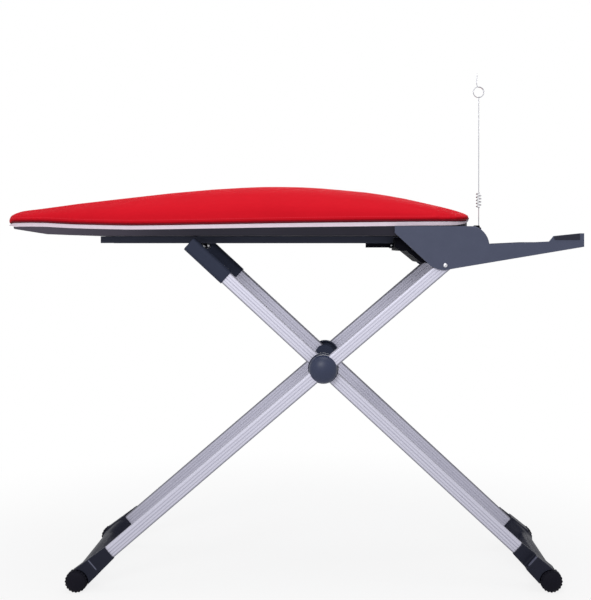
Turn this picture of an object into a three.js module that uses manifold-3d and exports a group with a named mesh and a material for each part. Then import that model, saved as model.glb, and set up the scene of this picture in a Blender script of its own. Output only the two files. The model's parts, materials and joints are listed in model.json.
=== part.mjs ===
// Vacuum ironing table: a crowned, padded board on a suction pan, an iron rest on two arms,
// and a folding frame of two pairs of crossed legs. Millimetres, +Z up, the floor at Z = 0.
// X runs from the nose of the board to the iron rest, and Y across the board.
import * as THREE from "three";
import { mergeVertices } from "three/addons/utils/BufferGeometryUtils.js";
import Module from "manifold-3d";

const wasm = await Module();
wasm.setup();

// General sizes
const gap = 0.3; // clearance between pieces that touch
const overrun = 1; // how far a cutter runs past the face it cuts
const slip = 1.5; // clearance of the slide block in its rail
const turnSides = 24; // sides of a round piece
const smallSides = 16; // sides of a small round piece

// Board, seen from above
const boardLength = 1196;
const boardWidth = 396;
const armReach = 257; // from the end of the board to the end of the iron rest
const planShares = [
  [0, 0.03], [0.004, 0.12], [0.015, 0.25], [0.04, 0.36], [0.1, 0.5], [0.2, 0.68],
  [0.3, 0.81], [0.4, 0.905], [0.5, 0.965], [0.6, 1], [0.88, 1], [0.93, 0.985],
  [0.96, 0.93], [0.98, 0.8], [0.99, 0.6], [0.996, 0.37], [1, 0.12],
];

// Layers of the board, from the rim down
const rimHeight = 892; // lower edge of the cover above the floor, before its lifts
const rimLifts = [
  [0, 0.5], [0.005, 0.5], [0.0125, 2], [0.02, 5], [0.066, 5.3], [0.103, 4.3], [0.156, 0.7],
  [0.245, -2.5], [0.29, -3.6], [0.45, -1.5], [0.6, 1.5], [0.73, 4], [0.863, 5.3], [0.924, 5.6],
  [0.961, 6], [0.98, 7.2], [0.987, 10], [0.995, 16], [1, 19.5],
];
const topLifts = [
  [0, 25.9], [0.004, 27.8], [0.0088, 28.7], [0.022, 33.3], [0.044, 36.9], [0.0765, 41.2],
  [0.109, 46.4], [0.153, 53.7], [0.197, 59.7], [0.241, 65.7], [0.274, 70.1], [0.36, 81.6],
  [0.45, 91], [0.52, 95.8], [0.57, 97.5], [0.62, 97.1], [0.67, 94.5], [0.72, 89.5],
  [0.78, 82.6], [0.86, 66.6], [0.91, 52.6], [0.945, 42.6], [0.96, 37.8], [0.975, 33.4],
  [0.987, 29.6], [0.995, 26.2], [1, 23],
];
const crownPower = 2.3; // how square the crown's cross section is
const coverEdgeHeight = 9;
const coverTuck = 7;
const feltThickness = 10;
const feltShares = [
  [0, 0.15], [0.012, 0.35], [0.022, 0.9], [0.04, 1], [0.945, 1], [0.965, 0.85], [0.98, 0.55],
  [1, 0.3],
];
const feltInset = 4;
const plateThickness = 1.2;
const matThickness = 1.6;
const plateInset = 10;
const matInset = 40;
const sheetInset = 58; // from each end of the board to the plate and the mat
const panDrop = 29.3; // from the rim down to the bottom of the pan
const panLifts = [
  [0.02, 19.5], [0.066, 11.5], [0.103, 5], [0.156, 3], [0.2, 1.2], [0.25, 0], [0.95, 0],
  [1, 10],
];
const panWall = 2;
const panInset = 6;
const panTailInset = 18;
const airHoleRadius = 44;
const panNoseInset = 26;
const panHollowInset = 30;

// Slide rail
const railWidth = 160;
const railHeight = 17;
const railWall = 2.5;
const railLip = 12;
const railLength = 742;
const railClear = 1.4; // from the end of the rail to the fan housing
const rackThickness = 2.5;
const rackWidth = 24;
const rackEnd = 12;
const rackSlots = 8;
const rackSlotWidth = 14;
const pinRadius = 2.5;

// Fold geometry
const pivotInset = 78.6; // from the end of the board back to the pivot bolt
const pivotHeight = 791.3;
const outerUpperLength = 388.5; // pivot bolt to hub
const outerLowerLength = 786.7; // hub to foot cap
const innerLowerLength = 752.8; // hub to foot cap
const rodDrop = 8.3; // from the bottom of the rail to the middle of the cross rod
const capRadius = 27;

// Legs
const legWidth = 33;
const legThickness = 18;
const legWall = 2;
const legGrooveDepth = 0.9;
const legGrooveWidth = 2.4;
const legEdge = 6; // height of the rounding along each edge
const grooveShares = [-0.21, 0, 0.21];
const outerLegPlace = 186; // middle of an outer leg from the centre plane
const innerLegPlace = 162;
const legTopReach = 14; // from the pivot bolt to the top end of an outer leg

// Hub: a dome over each outer leg, a cup over each inner leg and a pin through both
const domeRadius = 35;
const domeDepth = 33; // from its inner face to its crown
const domeRim = 12; // straight part of its side
const cupRadius = 37.5;
const cupWall = 3;
const cupDepth = 18;
const discRadius = 27;
const discDepth = 7.2;
const discHollow = 1.1; // how much its face is dished
const discRound = 2.5;
const hubPinRadius = 5;
const hubPinHead = 9;
const hubPinHeadDepth = 4;

// Top sleeves, cross rod, slide block and lock pin
const sleeveLength = 114;
const sleeveWall = 3;
const sleeveEnd = 10;
const rodRadius = 6;
const rodGrip = 8; // how far the rod goes into each sleeve's end
const blockLength = 70;
const lugWidth = 16;
const lugPlace = 48;
const lugRadius = 10;
const lockHeadRadius = 5;
const lockHeadHeight = 2;

// Foot bars, sizes along the leg from the middle of the foot cap
const footSleeveEnd = 105;
const footWrapEnd = 66; // above it only the leg's outer half is covered
const leftStepStart = 53;
const rightStepStart = 64;
const footPocket = 60;
const footSleeveWall = 3;
const footTongueHalf = 17.6;
const footBlockTip = 5;
const footBlockTipHalf = 25.3;
const footStep = 2.5;
const footBoss = 22; // radius of the round end behind each foot cap
const footBarMiddle = 6;
const footBarHalfLength = 22;
const footBarHalfHeight = 17;
const footFlareMiddle = 22;
const footFlareHalfLength = 43;
const footFlareHalfHeight = 20.5;
const footFlareRun = 55;
const capPlace = 178; // inner face of a foot cap from the centre plane
const capRibLength = 25;
const capDome = 8;
const capRoom = 0.7; // between a turning foot cap and its foot bar
const capRibs = 20;
const capRibDepth = 1.8;
const capSetOver = 1.2; // how far the cap's axle is below its middle
const axleRadius = 4;
const axleGrip = 12;
const axleReach = 16;

// Side cheeks and the iron rest's arms
const cheekThickness = 6;
const cheekGap = 1;
const cheekTop = 886;
const cheekLead = 122; // from the pivot bolt to the cheek's front corner
const cheekFrontHeight = 870;
const cheekToeLead = 34; // from the pivot bolt to the foot of its slanted front
const cheekToeHeight = 789;
const cheekHeel = 19; // from the pivot bolt to where the arm's lower edge starts
const cheekHeelHeight = 783;
const cheekToeMiddle = 781.3;
const cheekToeDip = 12;
const shoulderReach = 70; // from the pivot bolt to the end of the flat top
const shoulderDrop = 44; // from the flat top to the arm's upper edge
const armRootReach = 107;
const armTipHeight = 836;
const armStepHeight = 849;
const armStepReach = 251;
const armPadReach = 262;
const armPadTop = 862.2; // where the raised end's top starts to climb
const armCrestReach = 325;
const armCrestHeight = 868.7;
const boltRadius = 5;
const boltHeadRadius = 7;
const boltHeadHeight = 3.6;

// Rubber pad on the raised end of the near arm
const padHeight = 16;
const padProud = 1.5;
const padInset = 0.8;
const padRound = 3;

// Tray of the iron rest, between the arms
const trayTop = 839;
const trayThickness = 3;
const trayStart = 115; // from the pivot bolt
const trayEnd = 322;
const trayLip = 6;
const trayLipHeight = 8;
const traySlots = 9;
const traySlotWidth = 12;
const traySlotMargin = 22;

// Rear cover between the cheeks
const rearWall = 3;
const rearTop = 880;
const rearFoot = 800;
const rearFaceX = 106; // from the pivot bolt
const rearTopX = 84;
const shelfStart = 68;
const shelfEnd = 88;
const shelfWidth = 34;
const socketX = 79;
const socketY = 177;
const socketRadius = 8;
const socketBore = 4.5;
const socketHeight = 8;
const inletWidth = 28;
const inletHeight = 22;
const inletY = 110;
const inletDepth = 12;
const inletProud = 2;
const inletWall = 2.5;
const panelMiddle = 818; // height of the inlet and the switch
const switchWidth = 24;
const switchHeight = 16;
const switchY = 60;
const rockerInset = 3;
const rockerDepth = 9;

// Fan housing
const fanReach = -13; // fan axis from the pivot bolt
const fanBoxLead = -118; // front face
const fanBoxSteps = [[fanBoxLead, 832], [-111, 832], [-111, 826], [-90, 826], [-53, 796], [49, 796]];
const fanBoxHalf = 143;
const fanBoxTop = 856;
const fanBoxWall = 2.5;
const lidThickness = 2.5;
const gasketThickness = 3.2;
const gasketWall = 6;
const impellerRadius = 50;
const impellerLow = 830;
const impellerHeight = 20;
const impellerPlate = 2;
const impellerBlades = 9;
const bladeThickness = 2;
const hubBoss = 11;
const motorRadius = 33;
const motorHeight = 24;
const shaftRadius = 4;
const ventCount = 6;
const ventWidth = 6;
const ventHeight = 30;
const ventPitch = 40;

// Height release lever
const leverReach = -124; // its pin from the pivot bolt
const leverHeight = 839.5;
const leverLength = 64;
const leverThickness = 11;
const leverWidth = 40;
const leverPlace = -58;
const leverPinRadius = 2;
const leverLug = 4;

// Cord holder: a spring wire with a ring, standing on the rear cover
const wirePlaceX = 88;
const wirePlaceY = -150;
const wireRadius = 1.1;
const wireSides = 5;
const wireFoot = 12; // depth of the wire in its base
const mastSway = 8; // degrees that the mast sways to each side
const wireBaseRadius = 6;
const wireBaseTop = 884;
const wireBaseHeight = 14;
const springStart = 932;
const springRise = 38;
const springRadius = 6;
const springCurls = 5;
const curlSteps = 8;
const ringHeight = 1218;
const ringRadius = 13;
const ringSteps = 16;
const ringTurns = 1.5;
const wireTop = 1264;
const wireSetOver = 4; // how far the ring's crossing is set over

const tipX = -(boardLength + armReach) / 2;
const boardEndX = tipX + boardLength;
const armEndX = boardEndX + armReach;
const pivotX = boardEndX - pivotInset;
const panBottom = rimHeight - panDrop;
const railTop = panBottom - gap;
const railBottom = railTop - railHeight;
const rodHeight = railBottom - rodDrop;
const railX1 = pivotX + fanBoxLead - railClear;
const railX0 = railX1 - railLength;

// The outer legs lean by outerLean and the inner legs by innerLean
const outerLean = Math.asin((pivotHeight - capRadius) / (outerUpperLength + outerLowerLength));
const hubX = pivotX - outerUpperLength * Math.cos(outerLean);
const hubHeight = pivotHeight - outerUpperLength * Math.sin(outerLean);
const innerLean = Math.asin((hubHeight - capRadius) / innerLowerLength);
const innerUpperLength = (rodHeight - hubHeight) / Math.sin(innerLean);
const rodX = hubX - innerUpperLength * Math.cos(innerLean);

const cheekInner = outerLegPlace + legThickness / 2 + cheekGap;
const cheekOuter = cheekInner + cheekThickness;
const fanX = pivotX + fanReach;

// Materials
const finish = (color, roughness, metalness) =>
  new THREE.MeshStandardMaterial({ color, roughness, metalness });
const coverCloth = finish(0xd71b2b, 0.7, 0);
const paleFelt = finish(0xefd9e6, 0.9, 0);
const panPaint = finish(0x35353d, 0.5, 0.2);
const railSteel = finish(0x3c4050, 0.45, 0.3);
const slatePlastic = finish(0x4a4f65, 0.45, 0);
const blackPlastic = finish(0x1c1c22, 0.5, 0);
const footPlastic = finish(0x2c2d36, 0.5, 0);
const rubber = finish(0x17171a, 0.8, 0);
const anodised = finish(0xc6c5d2, 0.35, 0.85);
const chrome = finish(0xd8d8dc, 0.15, 1);
const zincSteel = finish(0x9a9aa2, 0.4, 0.9);
const copperBrown = finish(0x8a5a3a, 0.6, 0.3);

// A closed geometry as a solid for joining and cutting
function solidOf(geometry) {
  const bare = geometry.clone();
  bare.deleteAttribute("normal");
  bare.deleteAttribute("uv");
  const merged = mergeVertices(bare);
  const mesh = new wasm.Mesh({
    numProp: 3,
    vertProperties: merged.attributes.position.array,
    triVerts: new Uint32Array(merged.index.array),
  });
  return new wasm.Manifold(mesh);
}

// The geometry of a solid
function geometryOf(solid) {
  const mesh = solid.getMesh();
  const position = new THREE.BufferAttribute(new Float32Array(mesh.vertProperties), 3);
  const geometry = new THREE.BufferGeometry().setAttribute("position", position);
  geometry.setIndex(new THREE.BufferAttribute(new Uint32Array(mesh.triVerts), 1));
  geometry.computeVertexNormals();
  return geometry;
}

const table = new THREE.Group();

// Adds one named piece to a group, from a geometry or a solid
function piece(group, name, form, material) {
  const geometry = form.isBufferGeometry ? form : geometryOf(form);
  const mesh = new THREE.Mesh(geometry, material);
  mesh.name = name;
  group.add(mesh);
  return mesh;
}

const joined = (first, ...others) => others.reduce((sum, next) => sum.add(next), first);
const cut = (body, ...tools) => tools.reduce((rest, tool) => rest.subtract(tool), body);

// A smooth value from a table of shares
function shareAt(table, at) {
  const last = table.length - 1;
  const found = table.findIndex(([place]) => place > at);
  const k = Math.min(Math.max((found < 0 ? last : found) - 1, 0), last - 1);
  const slope = (i, j) => (table[j][1] - table[i][1]) / (table[j][0] - table[i][0]);
  const middle = slope(k, k + 1);
  const tame = (other) => (other * middle <= 0 ? 0 : (2 * other * middle) / (other + middle));
  const before = k > 0 ? tame(slope(k - 1, k)) : middle;
  const after = k < last - 1 ? tame(slope(k + 1, k + 2)) : middle;
  const width = table[k + 1][0] - table[k][0];
  const t = (at - table[k][0]) / width;
  const rise = middle * width;
  const a = before * width - rise;
  const b = rise - after * width;
  return table[k][1] + rise * t + t * (1 - t) * (a * (1 - t) + b * t);
}

// A closed form through rings of points, with each end closed to its middle
function loft(rings) {
  const count = rings[0].length;
  const points = rings.flat();
  const faces = [];
  for (let i = 0; i + 1 < rings.length; i += 1) {
    for (let j = 0; j < count; j += 1) {
      const next = (j + 1) % count;
      const a = i * count + j;
      const b = i * count + next;
      faces.push(a, b, b + count, a, b + count, a + count);
    }
  }
  const end = (ring, offset, turned) => {
    const middle = ring.reduce((sum, p) => sum.add(p), new THREE.Vector3());
    points.push(middle.divideScalar(count));
    for (let j = 0; j < count; j += 1) {
      const a = offset + j;
      const b = offset + ((j + 1) % count);
      faces.push(points.length - 1, turned ? b : a, turned ? a : b);
    }
  };
  end(rings[0], 0, true);
  end(rings[rings.length - 1], (rings.length - 1) * count, false);
  const geometry = new THREE.BufferGeometry().setFromPoints(points);
  geometry.setIndex(faces);
  geometry.computeVertexNormals();
  return geometry;
}

// A flat outline of [x, z] points as a plate between two places across the table
function plateAcross(outline, low, high, holes = []) {
  const shape = new THREE.Shape(outline.map(([x, z]) => new THREE.Vector2(x, z)));
  for (const { x, z, radius } of holes) {
    shape.holes.push(new THREE.Path().absarc(x, z, radius, 0, 2 * Math.PI, true));
  }
  const options = { depth: high - low, bevelEnabled: false, curveSegments: smallSides / 2 };
  const geometry = new THREE.ExtrudeGeometry(shape, options);
  return geometry.rotateX(Math.PI / 2).translate(0, high, 0);
}

// A box between two corners
function block([x0, y0, z0], [x1, y1, z1]) {
  const geometry = new THREE.BoxGeometry(x1 - x0, y1 - y0, z1 - z0);
  return geometry.translate((x0 + x1) / 2, (y0 + y1) / 2, (z0 + z1) / 2);
}

// A round bar across the table, and one that stands upright
function barAcross(radius, low, high, x, z, sides = smallSides) {
  const geometry = new THREE.CylinderGeometry(radius, radius, high - low, sides);
  return geometry.translate(x, (low + high) / 2, z);
}
function barUp(radius, low, high, x, y, sides = smallSides) {
  const geometry = new THREE.CylinderGeometry(radius, radius, high - low, sides);
  return geometry.rotateX(Math.PI / 2).translate(x, y, (low + high) / 2);
}

// A flat outline of [y, z] points as a bar along the table
function barAlong(outline, x0, x1) {
  const shape = new THREE.Shape(outline.map(([y, z]) => new THREE.Vector2(y, z)));
  const geometry = new THREE.ExtrudeGeometry(shape, { depth: x1 - x0, bevelEnabled: false });
  const turn = new THREE.Matrix4().set(0, 0, 1, 0, 1, 0, 0, 0, 0, 1, 0, 0, 0, 0, 0, 1);
  return geometry.applyMatrix4(turn).translate(x0, 0, 0);
}

// A form on the far side of the table, as the near one seen in a mirror
function farOf(form) {
  const geometry = geometryOf(form.isBufferGeometry ? solidOf(form) : form);
  geometry.scale(1, -1, 1);
  const index = geometry.index.array;
  for (let i = 0; i < index.length; i += 3) {
    const kept = index[i];
    index[i] = index[i + 1];
    index[i + 1] = kept;
  }
  geometry.computeVertexNormals();
  return geometry;
}

// Adds a near piece and its far copy
function pair(group, name, form, material) {
  piece(group, `${name}_near`, form, material);
  piece(group, `${name}_far`, farOf(form), material);
}

// The board's half width and the height of its rim, top and pan at a place along it
const alongBoard = (table, x) => shareAt(table, (x - tipX) / boardLength);
const planHalf = (x) => (boardWidth / 2) * alongBoard(planShares, x);
const rimAt = (x) => rimHeight + alongBoard(rimLifts, x);
const feltLow = (x) => rimAt(x) - feltThickness * alongBoard(feltShares, x);
const panLow = (x) => panBottom + alongBoard(panLifts, x);
const stationShares = [
  0, 0.004, 0.012, 0.02, 0.03, 0.044, 0.066, 0.103, 0.156, 0.2, 0.245, 0.29, 0.36, 0.45, 0.52,
  0.56, 0.6, 0.64, 0.68, 0.73, 0.78, 0.82, 0.863, 0.9, 0.924, 0.945, 0.961, 0.972, 0.98, 0.987,
  0.993, 1,
];
const boardStations = stationShares.map((share) => tipX + share * boardLength);
const stationsBetween = (x0, x1) => [
  x0,
  ...boardStations.filter((x) => x > x0 + gap && x < x1 - gap),
  x1,
];

// A flat ring of a layer whose section is a rectangle
const flatRing = (x, half, low, high) => [
  new THREE.Vector3(x, half, low),
  new THREE.Vector3(x, half, high),
  new THREE.Vector3(x, -half, high),
  new THREE.Vector3(x, -half, low),
];

// Padded cover: a crown over the whole board, with its edge tucked in below
function cover() {
  const topSteps = 20;
  const bottomShares = [-1, -0.5, 0.5, 1];
  const rings = stationsBetween(tipX, boardEndX).map((x) => {
    const half = planHalf(x);
    const base = rimAt(x) + gap;
    const crown = rimHeight + alongBoard(topLifts, x) - base;
    const edge = Math.min(coverEdgeHeight, crown / 2);
    const tucked = half - Math.min(coverTuck, half / 3);
    const ring = [];
    for (let k = 0; k <= topSteps; k += 1) {
      const angle = (Math.PI * k) / topSteps;
      const across = Math.sign(Math.cos(angle)) * Math.abs(Math.cos(angle)) ** (2 / crownPower);
      const up = Math.abs(Math.sin(angle)) ** (2 / crownPower);
      ring.push(new THREE.Vector3(x, half * across, base + edge + (crown - edge) * up));
    }
    for (const share of bottomShares) ring.push(new THREE.Vector3(x, tucked * share, base));
    return ring;
  });
  return loft(rings);
}

// Felt layer, seen as a pale band between the cover and the pan
function felt() {
  const rings = stationsBetween(tipX + feltInset, boardEndX - feltInset).map((x) => {
    return flatRing(x, planHalf(x) - feltInset, feltLow(x), rimAt(x));
  });
  return loft(rings);
}

// A sheet of the board's outline that lies under the felt
function sheetUnder(inset, drop, thickness) {
  const places = stationsBetween(tipX + sheetInset, boardEndX - sheetInset);
  const rings = places.map((x) => {
    const high = feltLow(x) - drop;
    return flatRing(x, planHalf(x) - inset, high - thickness, high);
  });
  return loft(rings);
}

// Suction pan: an open tray whose bottom rises to the nose and the tail
function pan() {
  const x0 = tipX + panNoseInset;
  const x1 = boardEndX - panTailInset;
  const outer = stationsBetween(x0, x1).map((x) =>
    flatRing(x, planHalf(x) - panInset, panLow(x), feltLow(x) - gap),
  );
  const inner = stationsBetween(x0 + panHollowInset, x1 - panWall).map((x) =>
    flatRing(x, planHalf(x) - panInset - panWall, panLow(x) + panWall, rimAt(x)),
  );
  const airHole = barUp(airHoleRadius, panBottom - overrun, panBottom + 2 * panWall, fanX, 0, turnSides);
  return cut(solidOf(loft(outer)), solidOf(loft(inner)), solidOf(airHole));
}

const board = new THREE.Group();
table.add(board);
piece(board, "cover", cover(), coverCloth);
piece(board, "felt_pad", felt(), paleFelt);
const matDrop = 3 * gap + plateThickness;
piece(board, "perforated_plate", sheetUnder(plateInset, 2 * gap, plateThickness), zincSteel);
piece(board, "heating_mat", sheetUnder(matInset, matDrop, matThickness), copperBrown);
piece(board, "suction_pan", pan(), panPaint);

// Slide rail: a channel that opens downwards, with two lips that carry the slide block
function slideRail() {
  const outer = railWidth / 2;
  const inner = outer - railWall;
  const lip = outer - railLip;
  const lipTop = railBottom + railWall;
  const web = railTop - railWall;
  const near = [
    [-lip, railBottom], [-lip, lipTop], [-inner, lipTop], [-inner, web],
  ];
  const far = near.map(([y, z]) => [-y, z]).reverse();
  const outline = [
    [-outer, railTop], [-outer, railBottom], ...near, ...far, [outer, railBottom], [outer, railTop],
  ];
  return barAlong(outline, railX0, railX1);
}
piece(board, "slide_rail", slideRail(), railSteel);

// Height rack: a strip under the rail's web. The lock pin runs in its long slot and rests in the
// wider slots across it
const rackTop = railTop - railWall - gap;
const rackBottom = rackTop - rackThickness;
function heightRack() {
  const strip = block(
    [railX0 + rackEnd, -rackWidth / 2, rackBottom],
    [rodX + rackEnd, rackWidth / 2, rackTop],
  );
  const slots = [];
  const pitch = (rodX - railX0 - rackEnd) / rackSlots;
  for (let k = 0; k < rackSlots; k += 1) {
    const x = rodX - k * pitch;
    const half = pinRadius + slip;
    const slot = block(
      [x - half, -rackSlotWidth / 2, rackBottom - overrun],
      [x + half, rackSlotWidth / 2, rackTop + overrun],
    );
    slots.push(solidOf(slot));
  }
  const run = block(
    [railX0 + 2 * rackEnd, -pinRadius - slip / 2, rackBottom - overrun],
    [rodX, pinRadius + slip / 2, rackTop + overrun],
  );
  return cut(solidOf(strip), solidOf(run), ...slots);
}
piece(board, "height_rack", heightRack(), zincSteel);

// A side cheek with its iron rest arm, as one plate. The near arm's end is raised
const fromPivot = (reach) => pivotX + reach;
const armRaise = [
  [armEndX, armCrestHeight],
  [fromPivot(armCrestReach), armCrestHeight],
  [fromPivot(armPadReach), armPadTop],
];
function cheekOutline(raised) {
  const shoulder = [];
  const steps = 8;
  for (let k = 0; k <= steps; k += 1) {
    const angle = (Math.PI / 2) * (1 - k / steps);
    const across = armRootReach - shoulderReach;
    const x = shoulderReach + across * Math.cos(angle) ** 1.25;
    shoulder.push([fromPivot(x), cheekTop - shoulderDrop * (1 - Math.sin(angle) ** 1.1)]);
  }
  return [
    [fromPivot(-cheekLead), cheekTop],
    [fromPivot(-cheekLead), cheekFrontHeight],
    [fromPivot(-cheekToeLead), cheekToeHeight],
    [fromPivot(-cheekToeLead / 2), cheekToeMiddle],
    [pivotX, pivotHeight - cheekToeDip],
    [fromPivot(cheekHeel), cheekHeelHeight],
    [armEndX, armTipHeight],
    ...(raised ? armRaise : [[armEndX, armStepHeight]]),
    [fromPivot(armStepReach), armStepHeight],
    ...shoulder.reverse(),
  ];
}

const boltHole = { x: pivotX, z: pivotHeight, radius: boltRadius + gap };
const cheekPlate = (raised) =>
  plateAcross(cheekOutline(raised), -cheekOuter, -cheekInner, [boltHole]);
piece(board, "side_cheek_near", cheekPlate(true), slatePlastic);
piece(board, "side_cheek_far", farOf(cheekPlate(false)), slatePlastic);

// Rubber pad on the raised end of the near arm
const padX0 = fromPivot(armPadReach) + padInset;
const padX1 = fromPivot(armCrestReach);
const padLow = armCrestHeight - padHeight;
const padOutline = [
  [padX0, padLow + padRound],
  [padX0 + padRound, padLow],
  [padX1, padLow],
  [padX1, armCrestHeight - padInset],
  [padX0, armPadTop - padInset],
];
piece(
  board,
  "arm_pad",
  plateAcross(padOutline, -cheekOuter - gap - padProud, -cheekOuter - gap),
  rubber,
);

// Tray of the iron rest: slots along it, and an upturned lip that stops the heel
function restTray() {
  const half = cheekInner - gap;
  const floor = block(
    [fromPivot(trayStart), -half, trayTop - trayThickness],
    [fromPivot(trayEnd), half, trayTop],
  );
  const lip = block(
    [fromPivot(trayEnd - trayLip), -half, trayTop - trayThickness],
    [fromPivot(trayEnd), half, trayTop + trayLipHeight],
  );
  const slots = [];
  const pitch = (2 * (half - traySlotMargin)) / traySlots;
  for (let k = 0; k < traySlots; k += 1) {
    const y = -half + traySlotMargin + pitch * (k + 1 / 2);
    const slot = block(
      [fromPivot(trayStart + traySlotMargin), y - traySlotWidth / 2, trayTop - trayThickness - overrun],
      [fromPivot(trayEnd - traySlotMargin), y + traySlotWidth / 2, trayTop + overrun],
    );
    if ((k - (traySlots - 1) / 2) !== 0) slots.push(solidOf(slot));
  }
  return cut(joined(solidOf(floor), solidOf(lip)), ...slots);
}
piece(board, "iron_rest_tray", restTray(), slatePlastic);

// Rear cover: a wall between the cheeks with a shelf for the lead socket and the cord holder
const panelX = fromPivot(rearFaceX);
function rearCover() {
  const half = cheekInner - gap;
  const top = fromPivot(rearTopX);
  const shoulder = [[top, rearTop], [panelX, cheekTop - shoulderDrop], [panelX, rearFoot]];
  const inside = shoulder.map(([x, z]) => [x - rearWall, z]).reverse();
  const wall = solidOf(plateAcross([...shoulder, ...inside].reverse(), -half, half));
  const shelf = block(
    [fromPivot(shelfStart), -half, rearTop - rearWall],
    [fromPivot(shelfEnd), -half + shelfWidth, rearTop],
  );
  const farShelf = block(
    [fromPivot(shelfStart), half - shelfWidth, rearTop - rearWall],
    [fromPivot(shelfEnd), half, rearTop],
  );
  const inlet = block(
    [panelX - rearWall - overrun, inletY - inletWidth / 2, panelMiddle - inletHeight / 2],
    [panelX + overrun, inletY + inletWidth / 2, panelMiddle + inletHeight / 2],
  );
  const rocker = block(
    [panelX - rearWall - overrun, switchY - switchWidth / 2, panelMiddle - switchHeight / 2],
    [panelX + overrun, switchY + switchWidth / 2, panelMiddle + switchHeight / 2],
  );
  const wireX = fromPivot(wirePlaceX);
  const boss = barUp(
    wireBaseRadius, wireBaseTop - 2 * wireBaseHeight, wireBaseTop - wireBaseHeight, wireX, wirePlaceY,
  );
  const socket = barUp(
    socketBore, rearTop - rearWall - overrun, rearTop + overrun, fromPivot(socketX), -socketY,
  );
  const seat = barUp(
    wireBaseRadius + gap, wireBaseTop - wireBaseHeight, wireBaseTop, wireX, wirePlaceY,
  );
  const whole = joined(wall, solidOf(shelf), solidOf(farShelf), solidOf(boss));
  return cut(whole, solidOf(inlet), solidOf(rocker), solidOf(socket), solidOf(seat));
}
piece(board, "rear_cover", rearCover(), slatePlastic);

// Socket collar for a lead, a ring standing on the shelf
function collar(x, y, low, high, radius, bore) {
  const round = bore / 3;
  const edge = [[radius, low], [radius, high - round], [radius - round, high]];
  const ring = [[bore, low], ...edge, [bore, high]];
  const profile = [...ring, ring[0]].map(([r, z]) => new THREE.Vector2(r, z));
  const geometry = new THREE.LatheGeometry(profile, smallSides);
  return geometry.rotateX(Math.PI / 2).translate(x, y, 0);
}
piece(
  board,
  "lead_socket",
  collar(fromPivot(socketX), -socketY, rearTop + gap, rearTop + gap + socketHeight, socketRadius, socketBore),
  blackPlastic,
);

// A cup set in the rear panel, open to the outside
function panelCup(y, width, height, wall, depth) {
  const flange = block(
    [panelX + gap, y - width / 2 - wall, panelMiddle - height / 2 - wall],
    [panelX + gap + inletProud, y + width / 2 + wall, panelMiddle + height / 2 + wall],
  );
  const body = block(
    [panelX - depth, y - width / 2 + gap, panelMiddle - height / 2 + gap],
    [panelX + gap + inletProud, y + width / 2 - gap, panelMiddle + height / 2 - gap],
  );
  const hollow = block(
    [panelX - depth + wall, y - width / 2 + wall, panelMiddle - height / 2 + wall],
    [panelX + inletProud + overrun, y + width / 2 - wall, panelMiddle + height / 2 - wall],
  );
  return cut(joined(solidOf(flange), solidOf(body)), solidOf(hollow));
}
piece(board, "mains_inlet", panelCup(inletY, inletWidth, inletHeight, inletWall, inletDepth), blackPlastic);
piece(
  board,
  "switch_frame",
  panelCup(switchY, switchWidth, switchHeight, inletWall / 2, inletDepth),
  blackPlastic,
);

// Rocker of the switch, a wedge that stands out at one end
function rocker() {
  const half = switchHeight / 2 - rockerInset;
  const out = panelX + gap + inletProud;
  const outline = [
    [out - rockerDepth, panelMiddle - half / 2],
    [out + rockerInset / 2, panelMiddle - half],
    [out, panelMiddle],
    [out + rockerInset / 2, panelMiddle + half],
    [out - rockerDepth, panelMiddle + half / 2],
  ];
  const across = switchWidth / 2 - rockerInset;
  return plateAcross(outline, switchY - across, switchY + across);
}
piece(board, "power_rocker", rocker(), rubber);

// Fan housing: an open box with a slanted front, slots in its back and lugs for the lever
function fanHousing() {
  const steps = fanBoxSteps.map(([reach, z]) => [fromPivot(reach), z]);
  const [, , , slantTop, slantFoot, back] = steps;
  const outline = [[steps[0][0], fanBoxTop], ...steps, [back[0], fanBoxTop]];
  const shell = solidOf(plateAcross(outline, -fanBoxHalf, fanBoxHalf));
  const inner = [
    [steps[0][0] + fanBoxWall, fanBoxTop + overrun],
    [steps[0][0] + fanBoxWall, steps[0][1] + fanBoxWall],
    [slantTop[0] + fanBoxWall, steps[0][1] + fanBoxWall],
    [slantFoot[0] + fanBoxWall, back[1] + fanBoxWall],
    [back[0] - fanBoxWall, back[1] + fanBoxWall],
    [back[0] - fanBoxWall, fanBoxTop + overrun],
  ];
  const room = solidOf(plateAcross(inner, fanBoxWall - fanBoxHalf, fanBoxHalf - fanBoxWall));
  const vents = [];
  for (let k = 0; k < ventCount; k += 1) {
    const y = (k - (ventCount - 1) / 2) * ventPitch;
    const middle = (fanBoxTop + back[1]) / 2;
    const vent = block(
      [back[0] - fanBoxWall - overrun, y - ventWidth / 2, middle - ventHeight / 2],
      [back[0] + overrun, y + ventWidth / 2, middle + ventHeight / 2],
    );
    vents.push(solidOf(vent));
  }
  const lugs = [];
  const lugOutline = [
    [steps[0][0] + fanBoxWall / 2, leverHeight + leverThickness / 2],
    [fromPivot(leverReach) - leverThickness / 2, leverHeight + leverThickness / 2],
    [fromPivot(leverReach) - leverThickness / 2, leverHeight - leverThickness / 2],
    [steps[0][0] + fanBoxWall / 2, leverHeight - leverThickness / 2],
  ];
  const pinHole = { x: fromPivot(leverReach), z: leverHeight, radius: leverPinRadius + gap };
  for (const side of [-1, 1]) {
    const middle = leverPlace + side * (leverWidth / 2 + gap + leverLug / 2);
    lugs.push(solidOf(plateAcross(lugOutline, middle - leverLug / 2, middle + leverLug / 2, [pinHole])));
  }
  return joined(cut(shell, room, ...vents), ...lugs);
}
piece(board, "fan_housing", fanHousing(), blackPlastic);

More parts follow.
